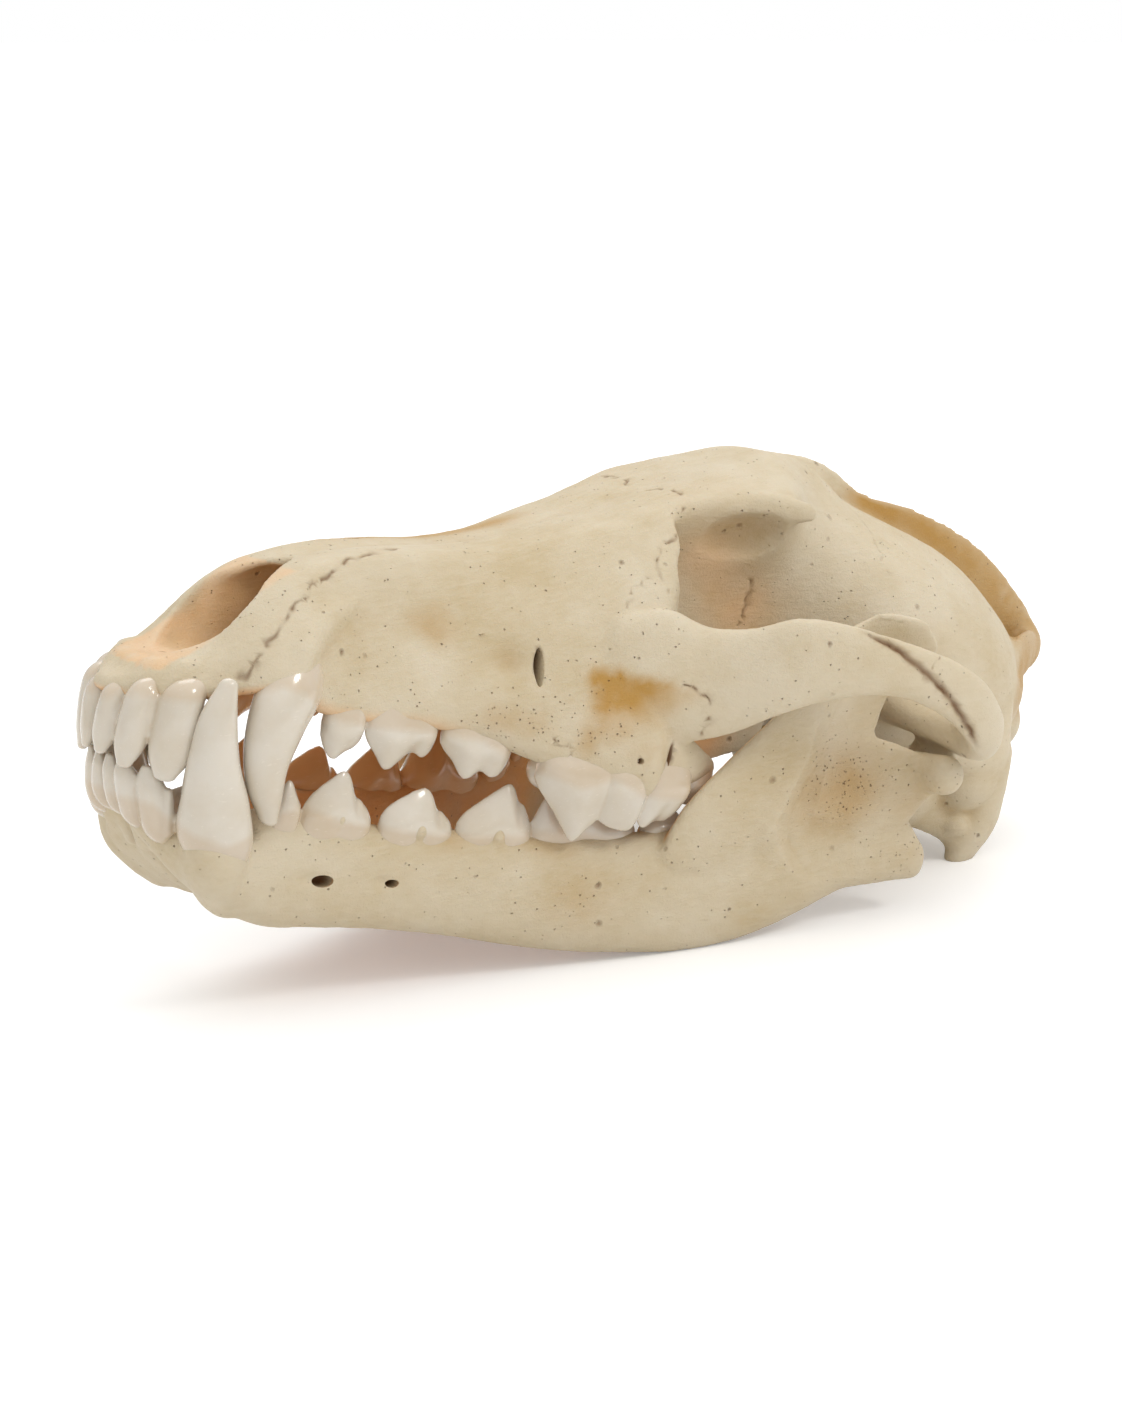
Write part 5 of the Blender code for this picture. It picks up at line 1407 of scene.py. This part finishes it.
@dataclass(frozen=True)
class BoneFinish:
    """Dry matt bone: cream tones, grain, pinholes, golden stain and dark seams, with painted shade: warm
    on undersides and inner faces, brown in hollows, dark in holes and pinholes.
    """

    name: str
    pale: tuple = (0.62, 0.53, 0.38, 1.0)
    warm: tuple = (0.53, 0.42, 0.25, 1.0)
    stain: tuple = (0.43, 0.23, 0.04, 1.0)
    # Brown of porous bone; also the colour of the painted shade in hollows.
    tint: tuple = (0.42, 0.265, 0.105, 1.0)
    # Warm orange of the painted shade on undersides and inner faces.
    warm_shade: tuple = (0.88, 0.43, 0.14, 1.0)
    edge: tuple = (0.67, 0.585, 0.44, 1.0)
    # Dark colour of the seams; also the painted shade inside holes and pinholes.
    pit: tuple = (0.17, 0.08, 0.028, 1.0)
    roughness: float = 0.56
    pores: float = 0.035

    def material(self, groups: dict[str, bpy.types.NodeTree]) -> bpy.types.Material:
        """Build the material from the shared groups.

        Args:
            groups: The shared node groups by name.

        Returns:
            The material.
        """
        mat = bpy.data.materials.new(self.name)
        mat.use_nodes = True
        sheet = Sheet(mat.node_tree)
        shader = mat.node_tree.nodes["Principled BSDF"]
        place = sheet.add("ShaderNodeTexCoord").outputs["Object"]
        masks = {key: sheet.add("ShaderNodeAttribute", attribute_name=key).outputs["Fac"]
                 for key in ("stain", "pore", "hollow", "warm_shade", "seam")}
        grain = sheet.add("ShaderNodeGroup", node_tree=groups["grain"])
        sheet.tree.links.new(place, grain.inputs["Vector"])
        few = sheet.add("ShaderNodeGroup", {"Vector": place, "Scale": 330.0, "Amount": self.pores},
                        node_tree=groups["pores"])
        many = sheet.add("ShaderNodeGroup", {"Vector": place, "Scale": 1250.0},
                         node_tree=groups["pores"])
        sheet.tree.links.new(sheet.math("ADD", 0.07, sheet.math("MULTIPLY", masks["pore"], 0.75)),
                             many.inputs["Amount"])
        pins = sheet.math("MAXIMUM", few.outputs["Mask"], many.outputs["Mask"])
        tone = sheet.band(grain.outputs["Tone"], 0.36, 0.66)
        base = sheet.mix(tone, self.pale, self.warm)
        base = sheet.mix(sheet.band(grain.outputs["Fine"], 0.4, 0.75, 0.0, 0.3), base, self.edge)
        # Warm painted shade.
        base = sheet.mix(sheet.math("MULTIPLY", masks["warm_shade"], 0.85), base, self.warm_shade)
        base = sheet.mix(masks["stain"], base, self.stain)
        base = sheet.mix(sheet.math("MULTIPLY", masks["pore"], 0.22), base, self.tint)
        # Painted shade in the hollows of the bone, in the brown tint colour.
        tinted = sheet.add("ShaderNodeGroup", {"Colour": base, "Hollow": masks["hollow"],
                                               "Tint": self.tint, "Edge": self.edge,
                                               "Depth": 0.4},
                           node_tree=groups["hollow_shade"])
        # Dark seams, and painted shade inside the holes.
        seamed = sheet.mix(masks["seam"], tinted.outputs["Colour"], self.pit)
        # Painted shade: the pinholes are drawn dark, besides the dent of the bump.
        colour = sheet.mix(sheet.math("MULTIPLY", pins, 0.8), seamed, self.pit)
        rough_value = sheet.band(grain.outputs["Tone"], 0.3, 0.7, self.roughness - 0.06,
                                 self.roughness + 0.06)
        height = sheet.math("SUBTRACT", grain.outputs["Height"], sheet.math("MULTIPLY", pins, 1.5))
        bump = sheet.add("ShaderNodeBump", {"Strength": 0.95, "Distance": 0.0004,
                                            "Height": height})
        for key, value in (("Base Color", colour), ("Roughness", rough_value),
                           ("Normal", bump.outputs[0])):
            sheet.tree.links.new(value, shader.inputs[key])
        shader.inputs["Subsurface Weight"].default_value = 0.10
        shader.inputs["Subsurface Radius"].default_value = (0.9, 0.5, 0.25)
        shader.inputs["Subsurface Scale"].default_value = 0.0012
        return mat


@dataclass(frozen=True)
class EnamelFinish:
    """Glossy ivory enamel, warmer at the neck, with painted shade in the grooves and warm painted shade
    on the inward faces.
    """

    name: str
    white: tuple = (0.66, 0.60, 0.505, 1.0)
    ivory: tuple = (0.60, 0.52, 0.40, 1.0)
    # Warm colour of the necks; also the colour of the painted shade in the grooves.
    neck: tuple = (0.50, 0.31, 0.13, 1.0)
    # Warm painted shade on the inward faces.
    inner: tuple = (0.84, 0.46, 0.18, 1.0)
    roughness: float = 0.22

    def material(self, groups: dict[str, bpy.types.NodeTree]) -> bpy.types.Material:
        """Build the material from the shared groups.

        Args:
            groups: The shared node groups by name.

        Returns:
            The material.
        """
        mat = bpy.data.materials.new(self.name)
        mat.use_nodes = True
        sheet = Sheet(mat.node_tree)
        shader = mat.node_tree.nodes["Principled BSDF"]
        place = sheet.add("ShaderNodeTexCoord").outputs["Object"]
        masks = {key: sheet.add("ShaderNodeAttribute", attribute_name=key).outputs["Fac"]
                 for key in ("neck", "hollow", "inner")}
        grain = sheet.add("ShaderNodeGroup", node_tree=groups["grain"])
        grain.inputs["Scale"].default_value = 2.0
        sheet.tree.links.new(place, grain.inputs["Vector"])
        base = sheet.mix(sheet.band(grain.outputs["Tone"], 0.35, 0.7), self.white, self.ivory)
        base = sheet.mix(sheet.band(masks["neck"], 0.2, 1.0, 0.0, 0.3), base, self.neck)
        # Warm painted shade on the inward faces of the back teeth.
        base = sheet.mix(sheet.math("MULTIPLY", masks["inner"], 0.85), base, self.inner)
        # Painted shade in the grooves of the teeth, in the neck colour.
        tinted = sheet.add("ShaderNodeGroup", {"Colour": base, "Hollow": masks["hollow"],
                                               "Tint": self.neck, "Edge": self.white,
                                               "Depth": 0.5, "Wear": 0.2},
                           node_tree=groups["hollow_shade"])
        rough_value = sheet.band(grain.outputs["Fine"], 0.3, 0.7, self.roughness - 0.05,
                                 self.roughness + 0.07)
        bump = sheet.add("ShaderNodeBump", {"Strength": 0.08, "Distance": 0.0002,
                                            "Height": grain.outputs["Height"]})
        for key, value in (("Base Color", tinted.outputs["Colour"]), ("Roughness", rough_value),
                           ("Normal", bump.outputs[0])):
            sheet.tree.links.new(value, shader.inputs[key])
        shader.inputs["Coat Weight"].default_value = 0.9
        shader.inputs["Coat Roughness"].default_value = 0.07
        shader.inputs["Subsurface Weight"].default_value = 0.15
        shader.inputs["Subsurface Radius"].default_value = (0.9, 0.6, 0.4)
        shader.inputs["Subsurface Scale"].default_value = 0.0015
        return mat


# Studio.


@dataclass
class Studio:
    """Plain pale floor, soft lights and the camera at the photograph's angle."""

    azimuth: float = -38.0
    elevation: float = 16.0
    distance: float = 0.643
    lens: float = 72.42
    shift: tuple[float, float] = (-0.0235, 0.0369)
    floor_tone: tuple = (0.92, 0.92, 0.92, 1.0)
    floor_lift: float = 0.20
    zenith: float = 1.22
    horizon: float = 0.56

    def camera(self) -> None:
        """Place the camera on its line of sight, with the frame's height as the sensor's height."""
        target = Vector(POSE.to_row(np.array([POSE.pivot, 0.0, 0.0])))
        turn, rise = math.radians(self.azimuth), math.radians(self.elevation)
        back = Vector((math.sin(turn) * math.cos(rise), -math.cos(turn) * math.cos(rise),
                       math.sin(rise)))
        right = Vector((math.cos(turn), math.sin(turn), 0.0))
        axes = Matrix((right, back.cross(right), back)).transposed().to_4x4()
        data = bpy.data.cameras.new("photo_camera")
        data.sensor_fit, data.sensor_height, data.lens = "VERTICAL", 36.0, self.lens
        data.shift_x, data.shift_y = self.shift
        data.clip_start, data.clip_end = 0.01, 20.0
        camera = bpy.data.objects.new("photo_camera", data)
        camera.matrix_world = Matrix.Translation(target + back * self.distance) @ axes
        bpy.context.scene.collection.objects.link(camera)
        bpy.context.scene.camera = camera

    def floor(self) -> bpy.types.Object:
        """Wide pale disc under the skull: rings of a plane, plain pale and a little brighter for camera
        rays.
        """
        turn = np.linspace(0, 2 * math.pi, 96, endpoint=False)
        reach = np.array([0.02, 0.4, 1.2, 3.0, 6.0])[:, None]
        points = np.stack([reach * np.cos(turn), reach * np.sin(turn), reach * 0 * turn], axis=2)
        index = np.arange(reach.size * 96).reshape(-1, 96)
        after = np.roll(index, -1, axis=1)
        faces = np.stack([index[:-1], index[1:], after[1:], after[:-1]], axis=-1).reshape(-1, 4)
        mesh = bpy.data.meshes.new("studio_floor")
        mesh.from_pydata(points.reshape(-1, 3).tolist(), [], faces.tolist() + [index[0].tolist()])
        obj = bpy.data.objects.new("studio_floor", mesh)
        bpy.context.scene.collection.objects.link(obj)
        mat = bpy.data.materials.new("studio_paper")
        mat.use_nodes = True
        shader = mat.node_tree.nodes["Principled BSDF"]
        sheet = Sheet(mat.node_tree)
        seen = sheet.add("ShaderNodeLightPath").outputs["Is Camera Ray"]
        lift = sheet.mix(seen, (0.0, 0.0, 0.0, 1.0), (self.floor_lift,) * 3 + (1.0,))
        sheet.tree.links.new(lift, shader.inputs["Emission Color"])
        shader.inputs["Emission Strength"].default_value = 1.0
        shader.inputs["Base Color"].default_value = self.floor_tone
        shader.inputs["Roughness"].default_value = 0.9
        shader.inputs["Specular IOR Level"].default_value = 0.1
        mesh.materials.append(mat)
        return obj

    def light(self, name: str, place: tuple, power: float, size: float, tone: tuple) -> None:
        """Square area light that looks at the middle of the skull."""
        data = bpy.data.lights.new(name, "AREA")
        data.energy, data.size, data.color = power, size, tone
        obj = bpy.data.objects.new(name, data)
        aim = Vector((0.0, 0.0, 0.05)) - Vector(place)
        obj.matrix_world = Matrix.Translation(place) @ aim.to_track_quat("-Z", "Y").to_matrix().to_4x4()
        bpy.context.scene.collection.objects.link(obj)

    def surround(self) -> None:
        """White world: seen as plain white, but it lights more from above than from the side."""
        world = bpy.data.worlds.new("surround")
        world.use_nodes = True
        sheet = Sheet(world.node_tree)
        shade = world.node_tree.nodes["Background"]
        ray = sheet.add("ShaderNodeTexCoord").outputs["Generated"]
        height = sheet.add("ShaderNodeSeparateXYZ", {0: ray}).outputs[2]
        sky = sheet.band(height, 0.0, 1.0, self.horizon, self.zenith)
        seen = sheet.add("ShaderNodeLightPath").outputs["Is Camera Ray"]
        level = sheet.add("ShaderNodeMix", {0: seen, 2: sky, 3: 1.0}).outputs[0]
        sheet.tree.links.new(level, shade.inputs["Strength"])
        shade.inputs["Color"].default_value = (1.0, 1.0, 1.0, 1.0)
        bpy.context.scene.world = world

    def build(self) -> None:
        """Camera, floor, two soft lights and a white surround."""
        self.camera()
        self.floor()
        self.light("key", (0.42, -0.85, 0.95), 3.5, 0.3, (1.0, 0.985, 0.96))
        self.light("back", (0.35, 0.7, 1.3), 3.6, 0.9, (1.0, 1.0, 1.0))
        self.surround()
        bpy.context.scene.view_settings.view_transform = "Standard"


# Assembly.


def place(obj: bpy.types.Object, material: bpy.types.Material, slot: str,
          nodes: Sequence[str]) -> None:
    """Take a finished piece to the row frame, flat where it rests, dress it and tie it to the frame.

    Args:
        obj: Piece in skull millimetres.
        material: Its finish.
        slot: Name of a material slot; not used.
        nodes: CAD nodes that it stands for.
    """
    points = POSE.to_row(read_points(obj.data))
    points[:, 2] = np.maximum(points[:, 2], 0.0)
    write_points(obj.data, points)
    obj.data.materials.clear()
    obj.data.materials.append(material)
    obj.data.shade_smooth()
    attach(obj, BODY)
    if nodes:
        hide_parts(*nodes)
    LOG.info("%s: %d faces", obj.name, len(obj.data.polygons))


def main() -> None:
    """Build every piece in order."""
    logging.basicConfig(level=logging.INFO, format="%(name)s %(message)s")
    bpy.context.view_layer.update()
    groups = {"grain": bone_grain_group(), "pores": pore_group(), "hollow_shade": hollow_shade_group()}
    bone = BoneFinish("cranium_bone").material(groups)
    jaw_bone = BoneFinish("jaw_bone").material(groups)
    enamel = EnamelFinish("ivory_enamel").material(groups)
    place(Cranium().build(), bone, "face_bone",
          ("rostrum", "braincase", "zygomatic_arch_left", "zygomatic_arch_right"))
    for side in BOTH:
        place(Mandible(side).build(), jaw_bone, "jaw_bone", ("mandible_" + side.word,))
        place(UpperTeeth(side).build(), enamel, "face_bone", ())
        place(LowerTeeth(side).build(), enamel, "jaw_bone", ())
    Studio().build()


if __name__ == "__main__":
    main()
